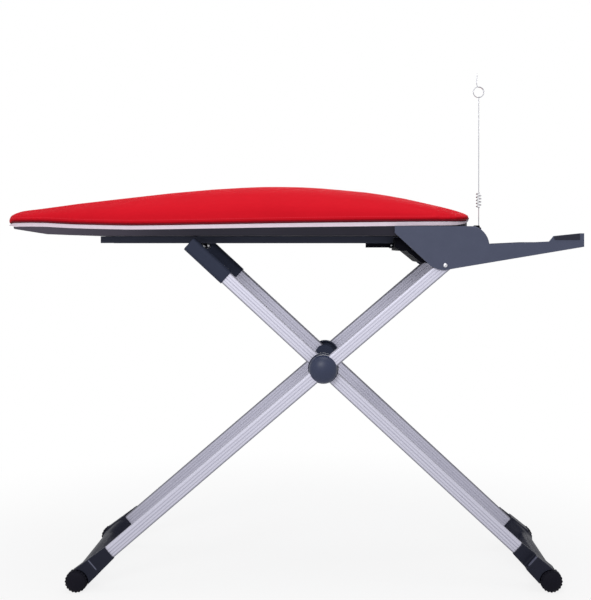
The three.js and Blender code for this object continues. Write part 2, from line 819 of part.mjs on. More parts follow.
// Lid of the housing with the air inlet, and the gasket between it and the pan
function housingLid() {
  const low = fanBoxTop + gap;
  const plate = block(
    [fromPivot(fanBoxLead), -fanBoxHalf, low],
    [fromPivot(fanBoxSteps[5][0]), fanBoxHalf, low + lidThickness],
  );
  const hole = barUp(airHoleRadius, low - overrun, low + lidThickness + overrun, fanX, 0, turnSides);
  return cut(solidOf(plate), solidOf(hole));
}
piece(board, "housing_lid", housingLid(), blackPlastic);
const gasketLow = fanBoxTop + lidThickness + 2 * gap;
function gasket() {
  const outer = barUp(airHoleRadius + gasketWall, gasketLow, gasketLow + gasketThickness, fanX, 0, turnSides);
  const inner = barUp(
    airHoleRadius, gasketLow - overrun, gasketLow + gasketThickness + overrun, fanX, 0, turnSides,
  );
  return cut(solidOf(outer), solidOf(inner));
}
piece(board, "air_gasket", gasket(), rubber);

// Fan motor with its shaft, and the impeller on it
const motorLow = fanBoxSteps[5][1] + fanBoxWall + gap;
function fanMotor() {
  const can = barUp(motorRadius, motorLow, motorLow + motorHeight, fanX, 0, turnSides);
  const shaft = barUp(shaftRadius, motorLow, impellerLow + impellerHeight, fanX, 0);
  return joined(solidOf(can), solidOf(shaft));
}
piece(board, "fan_motor", fanMotor(), zincSteel);
function impeller() {
  const high = impellerLow + impellerHeight;
  const disc = barUp(impellerRadius, impellerLow, impellerLow + impellerPlate, 0, 0, turnSides);
  const boss = barUp(hubBoss, impellerLow, high, 0, 0);
  const blades = [];
  for (let k = 0; k < impellerBlades; k += 1) {
    const blade = block(
      [hubBoss / 2, -bladeThickness / 2, impellerLow + impellerPlate / 2],
      [impellerRadius - bladeThickness, bladeThickness / 2, high],
    );
    blades.push(solidOf(blade.rotateZ((2 * Math.PI * k) / impellerBlades)));
  }
  const bore = barUp(shaftRadius + gap, impellerLow - overrun, high + overrun, 0, 0);
  return cut(joined(solidOf(disc), solidOf(boss), ...blades), solidOf(bore));
}
piece(board, "fan_impeller", impeller(), blackPlastic).position.set(fanX, 0, 0);

// Height release lever on its pin
function lever() {
  const x = fromPivot(leverReach);
  const half = leverThickness / 2;
  const bar = block(
    [x - leverLength, leverPlace - leverWidth / 2, leverHeight - half],
    [x, leverPlace + leverWidth / 2, leverHeight + half],
  );
  const eye = barAcross(half, leverPlace - leverWidth / 2, leverPlace + leverWidth / 2, x, leverHeight);
  const hole = barAcross(
    leverPinRadius + gap, leverPlace - leverWidth, leverPlace + leverWidth, x, leverHeight,
  );
  return cut(joined(solidOf(bar), solidOf(eye)), solidOf(hole));
}
piece(board, "release_lever", lever(), blackPlastic);
const leverPinHalf = leverWidth / 2 + gap + leverLug;
const leverPinLow = leverPlace - leverPinHalf;
const leverPinHigh = leverPlace + leverPinHalf;
piece(
  board,
  "lever_pin",
  barAcross(leverPinRadius, leverPinLow, leverPinHigh, fromPivot(leverReach), leverHeight),
  zincSteel,
);

// A closed tube of flat-sided section along a row of points
function tubeAlong(points, radius, sides) {
  const normal = new THREE.Vector3(0, 1, 0);
  const rings = points.map((point, i) => {
    const before = points[Math.max(i - 1, 0)];
    const after = points[Math.min(i + 1, points.length - 1)];
    const along = after.clone().sub(before).normalize();
    normal.addScaledVector(along, -normal.dot(along)).normalize();
    const side = along.clone().cross(normal);
    return Array.from({ length: sides }, (_, k) => {
      const angle = (2 * Math.PI * k) / sides;
      return point
        .clone()
        .addScaledVector(normal, radius * Math.cos(angle))
        .addScaledVector(side, radius * Math.sin(angle));
    });
  });
  return loft(rings);
}

// The least gap of a tube to itself, between points more than half a turn apart
function leastGap(points, radius, apart) {
  let least = Infinity;
  points.forEach((p, i) => {
    for (let j = i + apart; j < points.length; j += 1) least = Math.min(least, p.distanceTo(points[j]));
  });
  return least - 2 * radius;
}

// Cord holder wire: straight foot, five curls, a long mast and a ring with its tip turned up
function holderPoints() {
  const points = [];
  const bend = springRadius / 2;
  points.push(new THREE.Vector3(0, 0, wireBaseTop - wireFoot));
  points.push(new THREE.Vector3(0, 0, springStart - bend));
  const steps = springCurls * curlSteps;
  for (let k = 0; k <= steps; k += 1) {
    const angle = (2 * Math.PI * k) / curlSteps;
    const open = springRadius * Math.min(1, k / 2, (steps - k) / 2);
    const z = springStart + (springRise * k) / steps;
    points.push(new THREE.Vector3(open * Math.cos(angle), open * Math.sin(angle), z));
  }
  points.push(new THREE.Vector3(0, 0, springStart + springRise + bend));
  points.push(new THREE.Vector3(0, 0, ringHeight - ringRadius - bend));
  const lastStep = ringSteps * ringTurns;
  for (let k = 0; k <= lastStep; k += 1) {
    const angle = -Math.PI / 2 + (2 * Math.PI * k) / ringSteps;
    const over = (wireSetOver * k) / ringSteps;
    points.push(
      new THREE.Vector3(ringRadius * Math.cos(angle), over, ringHeight + ringRadius * Math.sin(angle)),
    );
  }
  points.push(new THREE.Vector3(-bend, wireSetOver * ringTurns, ringHeight + ringRadius + bend));
  points.push(new THREE.Vector3(-bend, wireSetOver * ringTurns, wireTop));
  return points;
}
const wirePath = holderPoints();
console.log("cord holder's least gap to itself", leastGap(wirePath, wireRadius, curlSteps / 2).toFixed(2));
const wireX = fromPivot(wirePlaceX);
const holder = piece(board, "cord_holder_wire", tubeAlong(wirePath, wireRadius, wireSides), chrome);
holder.position.set(wireX, wirePlaceY, 0);
const baseFoot = wireBaseTop - wireBaseHeight + gap;
const baseBore = wireRadius + 2 * gap + (wireFoot / 2) * Math.sin((mastSway * Math.PI) / 180);
piece(
  board,
  "cord_holder_base",
  collar(wireX, wirePlaceY, baseFoot, wireBaseTop, wireBaseRadius, baseBore),
  blackPlastic,
);

// Pivot bolt: a domed head outside the cheek and a shank through the leg
function domedBolt(radius, headRadius, headHeight, inner, outer) {
  const profile = [[0, inner], [radius, inner], [radius, outer], [headRadius, outer]];
  const steps = 4;
  for (let k = 1; k <= steps; k += 1) {
    const angle = (Math.PI / 2) * (k / steps);
    profile.push([headRadius * Math.cos(angle), outer + headHeight * Math.sin(angle)]);
  }
  profile[profile.length - 1][0] = 0;
  return new THREE.LatheGeometry(profile.map(([r, y]) => new THREE.Vector2(r, y)), smallSides);
}
const outerInside = outerLegPlace - legThickness / 2;
const boltInner = outerInside - boltHeadHeight;
const pivotBolt = domedBolt(boltRadius, boltHeadRadius, boltHeadHeight, boltInner, cheekOuter + gap);
pivotBolt.rotateX(Math.PI).translate(pivotX, 0, pivotHeight);
pair(board, "pivot_bolt", pivotBolt, chrome);

// Leg section: an oval with shallow grooves along both broad faces, as [across, up] points
function legSection(width, thickness, grooved) {
  const corner = thickness / 2;
  const edge = legEdge + (width - legWidth) / 2;
  const flat = width / 2 - edge;
  const side = [];
  const steps = 6;
  for (let k = 0; k <= steps; k += 1) {
    const angle = -Math.PI / 2 + (Math.PI * k) / steps;
    side.push([corner * Math.sin(angle), flat + edge * Math.cos(angle)]);
  }
  if (grooved) {
    for (const share of [...grooveShares].reverse()) {
      const middle = share * width;
      side.push([corner, middle + legGrooveWidth / 2]);
      side.push([corner - legGrooveDepth, middle]);
      side.push([corner, middle - legGrooveWidth / 2]);
    }
  }
  return [...side, ...side.map(([y, z]) => [-y, -z])];
}

// A straight oval tube along local X, its middle at a place across the table
function legTube(x0, x1, place) {
  const shifted = (outline) => outline.map(([y, z]) => [y + place, z]).reverse();
  const outer = barAlong(shifted(legSection(legWidth, legThickness, true)), x0, x1);
  const bore = legSection(legWidth - 2 * legWall, legThickness - 2 * legWall, false);
  const inner = barAlong(shifted(bore), x0 - overrun, x1 + overrun);
  return cut(solidOf(outer), solidOf(inner));
}

// Outer legs: a group at the pivot whose local X runs up the legs
const outerLegs = new THREE.Group();
outerLegs.position.set(pivotX, 0, pivotHeight);
outerLegs.rotation.y = -outerLean;
table.add(outerLegs);
const outerLegFoot = -(outerUpperLength + outerLowerLength - footSleeveEnd + footPocket);
const acrossAll = (radius, x, z) => solidOf(barAcross(radius, -cheekOuter, 0, x, z));
const outerLeg = cut(
  legTube(outerLegFoot, legTopReach, -outerLegPlace),
  acrossAll(boltRadius + gap, 0, 0),
  acrossAll(hubPinRadius + gap, -outerUpperLength, 0),
);
pair(outerLegs, "outer_leg", outerLeg, anodised);

// Inner legs: a group at the hub whose local X runs down to the right foot
const innerLegs = new THREE.Group();
innerLegs.position.set(hubX, 0, hubHeight);
innerLegs.rotation.y = innerLean;
table.add(innerLegs);
const innerLegFoot = innerLowerLength - footSleeveEnd + footPocket;
const innerLegTop = -(innerUpperLength - sleeveEnd - legTopReach);
const innerLeg = cut(
  legTube(innerLegTop, innerLegFoot, -innerLegPlace),
  acrossAll(hubPinRadius + gap, 0, 0),
);
pair(innerLegs, "inner_leg", innerLeg, anodised);

// Oval bar that clears a leg by the gap, for cutting seats and slots
function legClearance(x0, x1, place) {
  const grown = legSection(legWidth + 2 * gap, legThickness + 2 * gap, false);
  return solidOf(barAlong(grown.map(([y, z]) => [y + place, z]).reverse(), x0, x1));
}

// Dome over the outer leg at the hub, cut to let the leg through
const domeInner = outerInside + gap;
function hubDome() {
  const crown = domeInner + domeDepth;
  const rim = domeInner + domeRim;
  const profile = [[0, domeInner], [domeRadius, domeInner], [domeRadius, rim]];
  const steps = 6;
  for (let k = 1; k < steps; k += 1) {
    const angle = (Math.PI / 2) * (k / steps);
    profile.push([domeRadius * Math.cos(angle), rim + (crown - rim) * Math.sin(angle)]);
  }
  profile.push([0, crown]);
  const dome = new THREE.LatheGeometry(profile.map(([r, y]) => new THREE.Vector2(r, y)), turnSides);
  dome.rotateX(Math.PI).translate(-outerUpperLength, 0, 0);
  const slotX0 = -outerUpperLength - 2 * domeRadius;
  const slotX1 = 2 * domeRadius - outerUpperLength;
  const slot = legClearance(slotX0, slotX1, -outerLegPlace);
  const open = block(
    [-outerUpperLength - 2 * domeRadius, -outerLegPlace, -legWidth / 2 - gap],
    [2 * domeRadius - outerUpperLength, -domeInner + overrun, legWidth / 2 + gap],
  );
  const pinRoom = barAcross(
    hubPinHead + gap, -outerLegPlace - legThickness / 2 - 2 * hubPinHeadDepth, -outerLegPlace,
    -outerUpperLength, 0,
  );
  return cut(solidOf(dome), slot, solidOf(open), solidOf(pinRoom));
}
pair(outerLegs, "hub_dome", hubDome(), slatePlastic);

// Cup over the inner leg at the hub, between the two legs
const cupOuter = outerInside - gap;
function hubCup() {
  const cup = barAcross(cupRadius, -cupOuter, cupDepth - cupOuter, 0, 0, turnSides);
  const web = outerInside - innerLegPlace - legThickness / 2 - 2 * gap;
  const hollow = barAcross(
    cupRadius - cupWall, web - cupOuter, cupDepth - cupOuter + overrun, 0, 0, turnSides,
  );
  const slot = legClearance(-2 * cupRadius, 2 * cupRadius, -innerLegPlace);
  const open = block(
    [-2 * cupRadius, -innerLegPlace, -legWidth / 2 - gap],
    [2 * cupRadius, cupDepth - cupOuter + overrun, legWidth / 2 + gap],
  );
  return cut(solidOf(cup), solidOf(hollow), slot, solidOf(open), acrossAll(hubPinRadius + gap, 0, 0));
}
pair(innerLegs, "hub_cup", hubCup(), slatePlastic);

// Dished disc on the inner side of the inner leg, with room for the nut of the hub pin
function hubDisc() {
  const back = innerLegPlace - legThickness / 2 - gap;
  const front = back - discDepth;
  const nutRoom = hubPinHead + 2 * gap;
  const profile = [
    [0, front + discHollow], [discRadius / 2, front + discHollow],
    [discRadius - discRound, front], [discRadius, front + discRound], [discRadius, back],
    [nutRoom, back], [nutRoom, back - hubPinHeadDepth - gap], [0, back - hubPinHeadDepth - gap],
  ];
  const disc = new THREE.LatheGeometry(profile.map(([r, y]) => new THREE.Vector2(r, y)), turnSides);
  return solidOf(disc.rotateX(Math.PI));
}
pair(innerLegs, "hub_disc", hubDisc(), slatePlastic);

// Hub pin through both legs, with a head at each end
function hubPin() {
  const outerFace = -outerLegPlace - legThickness / 2 - gap;
  const innerFace = -innerLegPlace + legThickness / 2 + gap;
  const x = -outerUpperLength;
  const shank = barAcross(hubPinRadius, outerFace, innerFace, x, 0);
  const head = barAcross(hubPinHead, outerFace - hubPinHeadDepth, outerFace, x, 0);
  const nut = barAcross(hubPinHead, innerFace, innerFace + hubPinHeadDepth, x, 0, 6);
  return joined(solidOf(shank), solidOf(head), solidOf(nut));
}
pair(outerLegs, "hub_pin", hubPin(), zincSteel);

// Top sleeve of an inner leg, with a blind bore for the cross rod
function topSleeve() {
  const rod = -innerUpperLength;
  const width = legWidth + 2 * sleeveWall;
  const thickness = legThickness + 2 * sleeveWall;
  const outline = legSection(width, thickness, false).map(([y, z]) => [y - innerLegPlace, z]);
  const body = barAlong(outline.reverse(), rod - sleeveEnd, rod + sleeveLength);
  const seat = legClearance(innerLegTop - gap, rod + sleeveLength + overrun, -innerLegPlace);
  const bore = barAcross(rodRadius + gap, -rodHalf - gap, 0, rod, 0);
  return cut(solidOf(body), seat, solidOf(bore));
}
const rodHalf = innerLegPlace - legThickness / 2 - sleeveWall + rodGrip;
pair(innerLegs, "top_sleeve", topSleeve(), slatePlastic);
piece(innerLegs, "cross_rod", barAcross(rodRadius, -rodHalf, rodHalf, -innerUpperLength, 0), zincSteel);

// Slide block: a plate inside the rail with two lugs round the cross rod
const blockLow = railBottom + railWall + slip;
const blockHigh = rackBottom - slip;
const slideGroup = new THREE.Group();
slideGroup.position.set(rodX, 0, 0);
table.add(slideGroup);
function slideBlock() {
  const half = railWidth / 2 - railWall - slip;
  const plate = block([-blockLength / 2, -half, blockLow], [blockLength / 2, half, blockHigh]);
  const lugs = [-lugPlace, lugPlace].map((place) => {
    const low = place - lugWidth / 2;
    const high = place + lugWidth / 2;
    const web = block([-lugRadius, low, rodHeight], [lugRadius, high, blockLow + gap]);
    return solidOf(web).add(solidOf(barAcross(lugRadius, low, high, 0, rodHeight)));
  });
  const bore = barAcross(rodRadius + gap, -half, half, 0, rodHeight);
  const pinBore = barUp(pinRadius + gap, blockLow - overrun, blockHigh + overrun, 0, 0);
  return cut(joined(solidOf(plate), ...lugs), solidOf(bore), solidOf(pinBore));
}
piece(slideGroup, "slide_block", slideBlock(), blackPlastic);

// Lock pin: its tip stands in a slot of the height rack, and its head is below the block
function lockPin() {
  const headTop = blockLow - gap;
  const shank = barUp(pinRadius, headTop - lockHeadHeight, rackTop - gap, 0, 0);
  const head = barUp(lockHeadRadius, headTop - lockHeadHeight, headTop, 0, 0);
  return joined(solidOf(shank), solidOf(head));
}
piece(slideGroup, "lock_pin", lockPin(), zincSteel);

// Foot bar, in a frame at the foot caps' middles whose local X runs up the leg
function footBar(legPlace, turn, stepStart) {
  const axleX = capSetOver * Math.sin(turn);
  const axleZ = -capSetOver * Math.cos(turn);
  const blockInner = legPlace - legThickness / 2 - footSleeveWall;
  const sleeveOuter = legPlace + legThickness / 2 + footSleeveWall;
  const blockOuter = outerLegPlace + legThickness / 2 + footSleeveWall + footStep;
  const taper = (footBlockTipHalf - footTongueHalf) / (footSleeveEnd - footBlockTip);
  const halfAt = (along) => footTongueHalf + (footSleeveEnd - along) * taper;
  const barEnd = capPlace - overrun;
  const rings = [];
  const steps = 8;
  const flareStart = barEnd - footFlareRun;
  const ringAt = (y) => {
    const t = Math.min(1, Math.max(0, (Math.abs(y) - flareStart) / (blockInner - flareStart)));
    const ease = t * t * (3 - 2 * t);
    const middle = footBarMiddle + (footFlareMiddle - footBarMiddle) * ease;
    const long = footBarHalfLength + (footFlareHalfLength - footBarHalfLength) * ease;
    const tall = footBarHalfHeight + (footFlareHalfHeight - footBarHalfHeight) * ease;
    const ring = [];
    for (let k = 0; k < smallSides; k += 1) {
      const angle = (2 * Math.PI * k) / smallSides;
      const cosine = Math.sign(Math.cos(angle)) * Math.abs(Math.cos(angle)) ** (2 / 3);
      const sine = Math.sign(Math.sin(angle)) * Math.abs(Math.sin(angle)) ** (2 / 3);
      ring.push(new THREE.Vector3(middle + long * cosine, y, -tall * sine));
    }
    return ring;
  };
  for (let k = 0; k <= steps; k += 1) {
    rings.push(ringAt(-blockInner - overrun + ((blockInner + overrun - flareStart) * k) / steps));
  }
  for (let k = 0; k <= steps; k += 1) {
    rings.push(ringAt(flareStart + ((blockInner + overrun - flareStart) * k) / steps));
  }
  const bar = solidOf(loft(rings));
  const root = ringAt(0).map(({ x, z }) => [x, z]);
  const stub = solidOf(plateAcross(root.reverse(), -barEnd, barEnd));
  const outline = (start, end) => [
    [start, -halfAt(start)],
    [end, -halfAt(end)],
    [end, halfAt(end)],
    [start, halfAt(start)],
  ];
  const wrap = outline(stepStart - footStep, footWrapEnd);
  const tongue = outline(footWrapEnd - footStep, footSleeveEnd);
  const endBlock = outline(footBlockTip, stepStart);
  const ends = [-1, 1].map((side) => {
    const span = (inner, outer) => (side < 0 ? [-outer, -inner] : [inner, outer]);
    return joined(
      solidOf(plateAcross(wrap, ...span(blockInner, sleeveOuter))),
      solidOf(plateAcross(tongue, ...span(legPlace, sleeveOuter))),
      solidOf(plateAcross(endBlock, ...span(blockInner, blockOuter))),
      solidOf(barAcross(footBoss, ...span(blockInner, barEnd), 0, 0, turnSides)),
    );
  });
  const whole = joined(bar, stub, ...ends);
  const tools = [-1, 1].flatMap((side) => {
    const capSpan = side < 0 ? [-cheekOuter, -barEnd] : [barEnd, cheekOuter];
    const axle = side < 0 ? [-capPlace, axleGrip - capPlace] : [capPlace - axleGrip, capPlace];
    return [
      legClearance(footSleeveEnd - footPocket - gap, footSleeveEnd + overrun, side * legPlace),
      solidOf(barAcross(capRadius + capSetOver + capRoom, ...capSpan, axleX, axleZ, turnSides)),
      solidOf(barAcross(axleRadius + gap, ...axle, axleX, axleZ)),
    ];
  });
  return cut(whole, ...tools);
}

// Foot cap: a ribbed rim with a domed face, turning on an axle below its middle
function footCap() {
  const outline = [];
  for (let k = 0; k < capRibs; k += 1) {
    for (const [share, depth] of [[0, 0], [0.3, 0], [0.45, 1], [0.85, 1]]) {
      const angle = (2 * Math.PI * (k + share - 0.15)) / capRibs - Math.PI / 2;
      const radius = capRadius - depth * capRibDepth;
      outline.push([radius * Math.cos(angle), radius * Math.sin(angle)]);
    }
  }
  const rimEnd = -capPlace - capRibLength;
  const rim = plateAcross(outline, rimEnd, -capPlace);
  const face = capRadius - 2 * capRibDepth;
  const profile = [[0, -overrun], [face, -overrun], [face, 0]];
  const steps = 5;
  for (let k = 1; k < steps; k += 1) {
    const angle = (Math.PI / 2) * (k / steps);
    profile.push([face * Math.cos(angle), capDome * Math.sin(angle)]);
  }
  profile.push([0, capDome]);
  const dome = new THREE.LatheGeometry(profile.map(([r, y]) => new THREE.Vector2(r, y)), turnSides);
  dome.rotateX(Math.PI).translate(0, rimEnd, 0);
  const bore = barAcross(
    axleRadius + gap, -capPlace - axleReach - gap, overrun - capPlace, 0, -capSetOver,
  );
  return cut(joined(solidOf(rim), solidOf(dome)), solidOf(bore));
}

// One foot: the bar turned to its leg, with its caps and their axles
function foot(name, x, turn, legPlace, stepStart) {
  const frame = new THREE.Group();
  frame.position.set(x, 0, capRadius);
  frame.rotation.y = turn;
  table.add(frame);
  const upright = new THREE.Group();
  upright.position.set(x, 0, capRadius);
  table.add(upright);
  piece(frame, `${name}_foot_bar`, footBar(legPlace, turn, stepStart), footPlastic);
  pair(upright, `${name}_foot_cap`, footCap(), rubber);
  const axle = barAcross(
    axleRadius, -capPlace - axleReach, axleGrip - gap - capPlace, 0, -capSetOver,
  );
  pair(upright, `${name}_foot_axle`, axle, zincSteel);
}
const leftFootX = pivotX - (outerUpperLength + outerLowerLength) * Math.cos(outerLean);
const rightFootX = hubX + innerLowerLength * Math.cos(innerLean);
foot("left", leftFootX, -outerLean, outerLegPlace, leftStepStart);
foot("right", rightFootX, Math.PI + innerLean, innerLegPlace, rightStepStart);

export default table;
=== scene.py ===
# %% [markdown]
# A vacuum ironing table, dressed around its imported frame.
# The frame holds every rigid part at its real size. Here each visible part gets its finish, and
# the soft, rounded and moulded parts are modelled again so that their edges and surfaces look real.

# %% Load the frame
import json
import math

import bmesh
import bpy
from mathutils import Matrix, Vector


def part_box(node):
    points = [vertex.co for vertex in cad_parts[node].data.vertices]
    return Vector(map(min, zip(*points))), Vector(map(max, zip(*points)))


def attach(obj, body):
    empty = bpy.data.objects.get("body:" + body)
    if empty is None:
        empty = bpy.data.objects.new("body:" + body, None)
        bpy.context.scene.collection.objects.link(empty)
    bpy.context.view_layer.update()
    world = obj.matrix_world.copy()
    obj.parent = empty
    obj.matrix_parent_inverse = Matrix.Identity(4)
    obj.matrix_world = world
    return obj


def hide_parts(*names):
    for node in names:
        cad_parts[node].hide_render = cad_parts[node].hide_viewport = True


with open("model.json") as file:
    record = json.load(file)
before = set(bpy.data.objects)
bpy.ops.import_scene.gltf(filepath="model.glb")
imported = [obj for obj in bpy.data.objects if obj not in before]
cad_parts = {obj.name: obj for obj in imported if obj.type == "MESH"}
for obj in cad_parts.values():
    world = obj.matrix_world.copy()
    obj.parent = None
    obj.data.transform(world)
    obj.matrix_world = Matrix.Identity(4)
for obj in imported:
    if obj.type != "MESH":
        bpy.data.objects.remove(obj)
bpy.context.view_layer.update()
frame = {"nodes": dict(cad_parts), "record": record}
nodes = frame["nodes"]
behaviour = frame["record"]["behaviour"]
body_of_node = {node: body for body, held in behaviour["bodies"].items() for node in held}
slot_of_node = {row["node"]: row["material_slot"] for row in frame["record"]["subparts"]}
joint_place = {j["name"]: Vector(j["pos_m"]) for j in behaviour["joints"] if "pos_m" in j}
MM = 0.001

# %% [markdown]
# The camera stands level with the slide rail, to the right of the board's middle. The vanishing
# point of the picture is off its centre, which a small lens shift gives without tilting anything.
# The focal length comes from how much smaller the far foot caps are than the near ones.

# %% Camera
IMAGE_LONG = 600
FOCAL_PIXELS = 1003.8
SENSOR = 36.0
VANISH_RIGHT_PIXELS = 41.2
VANISH_UP_PIXELS = 53.6
EYE = Vector((128.5, -2627, 837)) * MM

lens = bpy.data.cameras.new("camera")
lens.sensor_width = SENSOR
lens.lens = FOCAL_PIXELS / IMAGE_LONG * SENSOR
lens.shift_x = -VANISH_RIGHT_PIXELS / IMAGE_LONG
lens.shift_y = -VANISH_UP_PIXELS / IMAGE_LONG
camera = bpy.data.objects.new("camera", lens)
camera.location = EYE
camera.rotation_euler = (math.radians(90), 0, 0)
bpy.context.scene.collection.objects.link(camera)
bpy.context.scene.camera = camera
print("lens", round(lens.lens, 2), "mm")

# %% [markdown]
# Every finish is a small tree of shader nodes. Written as Python sums and products it reads like
# the formula it is, so one class wraps a socket and overloads the operators, and one class holds
# the tree and makes any node from its type, its settings and the values of its sockets.

# %% Shader maths
class Signal:
    """One output socket; sums and products of signals add Math nodes to the same tree."""

    def __init__(self, finish, socket):
        self.finish = finish
        self.socket = socket

    def _math(self, operation, first, second):
        return self.finish.node("ShaderNodeMath", {"operation": operation}, {0: first, 1: second})

    def __add__(self, other):
        return self._math("ADD", self, other)

    def __sub__(self, other):
        return self._math("SUBTRACT", self, other)

    def __mul__(self, other):
        return self._math("MULTIPLY", self, other)

    def __rsub__(self, other):
        return self._math("SUBTRACT", other, self)

    __radd__ = __add__
    __rmul__ = __mul__

    def sine(self):
        return self._math("SINE", self, 0.0)

    def size(self):
        """The value without its sign."""
        return self._math("ABSOLUTE", self, 0.0)

    def above(self, edge, width):
        """0 below edge - width and 1 above edge + width, with a soft step between."""
        settings = {"interpolation_type": "SMOOTHSTEP"}
        sockets = {"Value": self, "From Min": edge - width, "From Max": edge + width}
        return self.finish.node("ShaderNodeMapRange", settings, sockets)


class Finish:
    """A material and the nodes that make it."""

    def __init__(self, name):
        self.material = bpy.data.materials.new(name)
        self.material.use_nodes = True
        self.tree = self.material.node_tree
        self.shader = self.tree.nodes["Principled BSDF"]
        self.output = self.tree.nodes["Material Output"]

    def node(self, kind, settings, sockets, out=0):
        """A new node of a type, and one of its outputs as a signal."""
        made = self.tree.nodes.new(kind)
        for key, value in settings.items():
            setattr(made, key, value)
        self.plug(made, sockets)
        return Signal(self, made.outputs[out])

    def plug(self, made, sockets):
        """Links signals to a node's sockets, and sets plain values on them."""
        for key, value in sockets.items():
            if isinstance(value, Signal):
                self.tree.links.new(value.socket, made.inputs[key])
            else:
                made.inputs[key].default_value = value

    def object_place(self, turn=(0, 0, 0), stretch=(1, 1, 1)):
        """Object coordinates in metres, turned and stretched."""
        place = self.node("ShaderNodeTexCoord", {}, {}, out="Object")
        return self.node(
            "ShaderNodeMapping", {"vector_type": "TEXTURE"},
            {"Vector": place, "Rotation": turn, "Scale": stretch},
        )

    def distance_along(self, direction, start=0.0):
        """Metres from a start in a direction, as one number."""
        place = self.node("ShaderNodeTexCoord", {}, {}, out="Object")
        sockets = {0: place, 1: direction}
        dot = self.node("ShaderNodeVectorMath", {"operation": "DOT_PRODUCT"}, sockets, out="Value")
        return dot - start

    def noise(self, place, per_metre, detail=2.0, roughness=0.5):
        sockets = {"Vector": place, "Scale": per_metre, "Detail": detail, "Roughness": roughness}
        return self.node("ShaderNodeTexNoise", {}, sockets)

    def blend(self, amount, first, second):
        """A colour between two colours."""
        sockets = {0: amount, 6: first, 7: second}
        return self.node("ShaderNodeMix", {"data_type": "RGBA"}, sockets, out=2)

    def relief(self, height, depth, strength, under=None):
        """A bumpy normal from a height, on top of another normal if one is given."""
        sockets = {"Height": height, "Distance": depth, "Strength": strength}
        if under is not None:
            sockets["Normal"] = under
        return self.node("ShaderNodeBump", {}, sockets)

    def surface(self, **sockets):
        """Sets the sockets of the surface, each named as Blender does but in small letters."""
        names = {key: key.replace("_", " ").title() for key in sockets}
        names["specular"] = "Specular IOR Level"
        self.plug(self.shader, {names[key]: value for key, value in sockets.items()})
        return self.material


def rgb(red, green, blue):
    """A display colour of 0 to 255 as the linear colour that shaders take."""
    def linear(value):
        share = value / 255
        return share / 12.92 if share <= 0.04045 else ((share + 0.055) / 1.055) ** 2.4
    return (linear(red), linear(green), linear(blue), 1.0)


print("shader maths ready")

# %% [markdown]
# A pale floor and a white surround. The object is lit by soft daylight from the world and by area
# lamps, at a level where a colour renders about as it is written. Rays that go straight from the
# camera or off a bright metal see a plain white instead, which Light Path tells apart. The floor
# turns fully white away from the table, so that no horizon shows, and keeps the shadow near it.

# %% Floor, world and lamps
SURROUND_LIGHT = 0.4
FLOOR_HALF = 6.0
NEAR_WHITE = 0.84
WHITE_FROM = 1.1
WHITE_SPREAD = 0.5


def white_rays(finish):
    """1 for rays that show the surround itself, and 0 for rays that carry its light."""
    seen = [finish.node("ShaderNodeLightPath", {}, {}, out=f"Is {kind} Ray")
            for kind in ("Camera", "Glossy", "Transmission")]
    total = seen[0] + seen[1] + seen[2]
    return finish.node("ShaderNodeMath", {"operation": "MINIMUM"}, {0: total, 1: 1.0})


class Surround(Finish):
    """The world's nodes, built in the same way as a material's."""

    def __init__(self, world):
        world.use_nodes = True
        self.tree = world.node_tree
        background = self.tree.nodes["Background"]
        background.inputs["Color"].default_value = (1, 1, 1, 1)
        strength = SURROUND_LIGHT + (1 - SURROUND_LIGHT) * white_rays(self)
        self.plug(background, {"Strength": strength})


bpy.context.scene.world = bpy.data.worlds.new("surround")
Surround(bpy.context.scene.world)
bpy.context.scene.view_settings.view_transform = "Standard"


def floor_finish():
    """A pale floor that the camera sees glow, fully white away from the table."""
    finish = Finish("floor_white")
    place = finish.object_place()
    cloud = finish.noise(place, 3.0)
    color = finish.blend(cloud, rgb(226, 226, 228), rgb(234, 234, 236))
    finish.surface(base_color=color, roughness=0.9, specular=0.1)
    glow = finish.node("ShaderNodeEmission", {}, {"Color": (1, 1, 1, 1), "Strength": 1.0})
    distance = finish.node("ShaderNodeVectorMath", {"operation": "LENGTH"}, {0: place}, out="Value")
    far = distance.above(WHITE_FROM, WHITE_SPREAD)
    share = white_rays(finish) * (far * (1 - NEAR_WHITE) + NEAR_WHITE)
    mixed = finish.node("ShaderNodeMixShader", {}, {0: share, 2: glow})
    finish.tree.links.new(finish.shader.outputs[0], mixed.socket.node.inputs[1])
    finish.tree.links.new(mixed.socket, finish.output.inputs["Surface"])
    return finish.material


def mesh_object(name, form, material=None):
    """A new object from a bmesh, at the origin."""
    mesh = bpy.data.meshes.new(name)
    form.to_mesh(mesh)
    form.free()
    made = bpy.data.objects.new(name, mesh)
    bpy.context.scene.collection.objects.link(made)
    if material is not None:
        mesh.materials.append(material)
    return made


floor_form = bmesh.new()
bmesh.ops.create_grid(floor_form, x_segments=1, y_segments=1, size=FLOOR_HALF)
mesh_object("floor", floor_form, floor_finish())


def soft_lamp(name, place, aim, size, watts):
    """A square area lamp that faces a point."""
    light = bpy.data.lights.new(name, "AREA")
    light.shape = "SQUARE"
    light.size = size
    light.energy = watts
    lamp = bpy.data.objects.new(name, light)
    lamp.location = place
    lamp.rotation_euler = (Vector(aim) - Vector(place)).to_track_quat("-Z", "Y").to_euler()
    bpy.context.scene.collection.objects.link(lamp)


soft_lamp("key_lamp", (-0.6, -3.0, 2.0), (0, 0, 0.7), 0.9, 37)
soft_lamp("top_lamp", (0.2, -0.3, 3.2), (0, 0, 0.8), 2.2, 31)
soft_lamp("back_lamp", (0.5, 3.2, 1.8), (0, 0, 0.7), 1.8, 16)
print("surround", SURROUND_LIGHT, "and three lamps")

# %% [markdown]
# The finishes. Each one starts from the colour of the real material and adds what that material
# shows up close: threads in the cloth, fuzz on the felt, drawn lines along the anodised legs and a
# fine grain on moulded plastic. Patterns read Object coordinates, which on these pieces are metres.

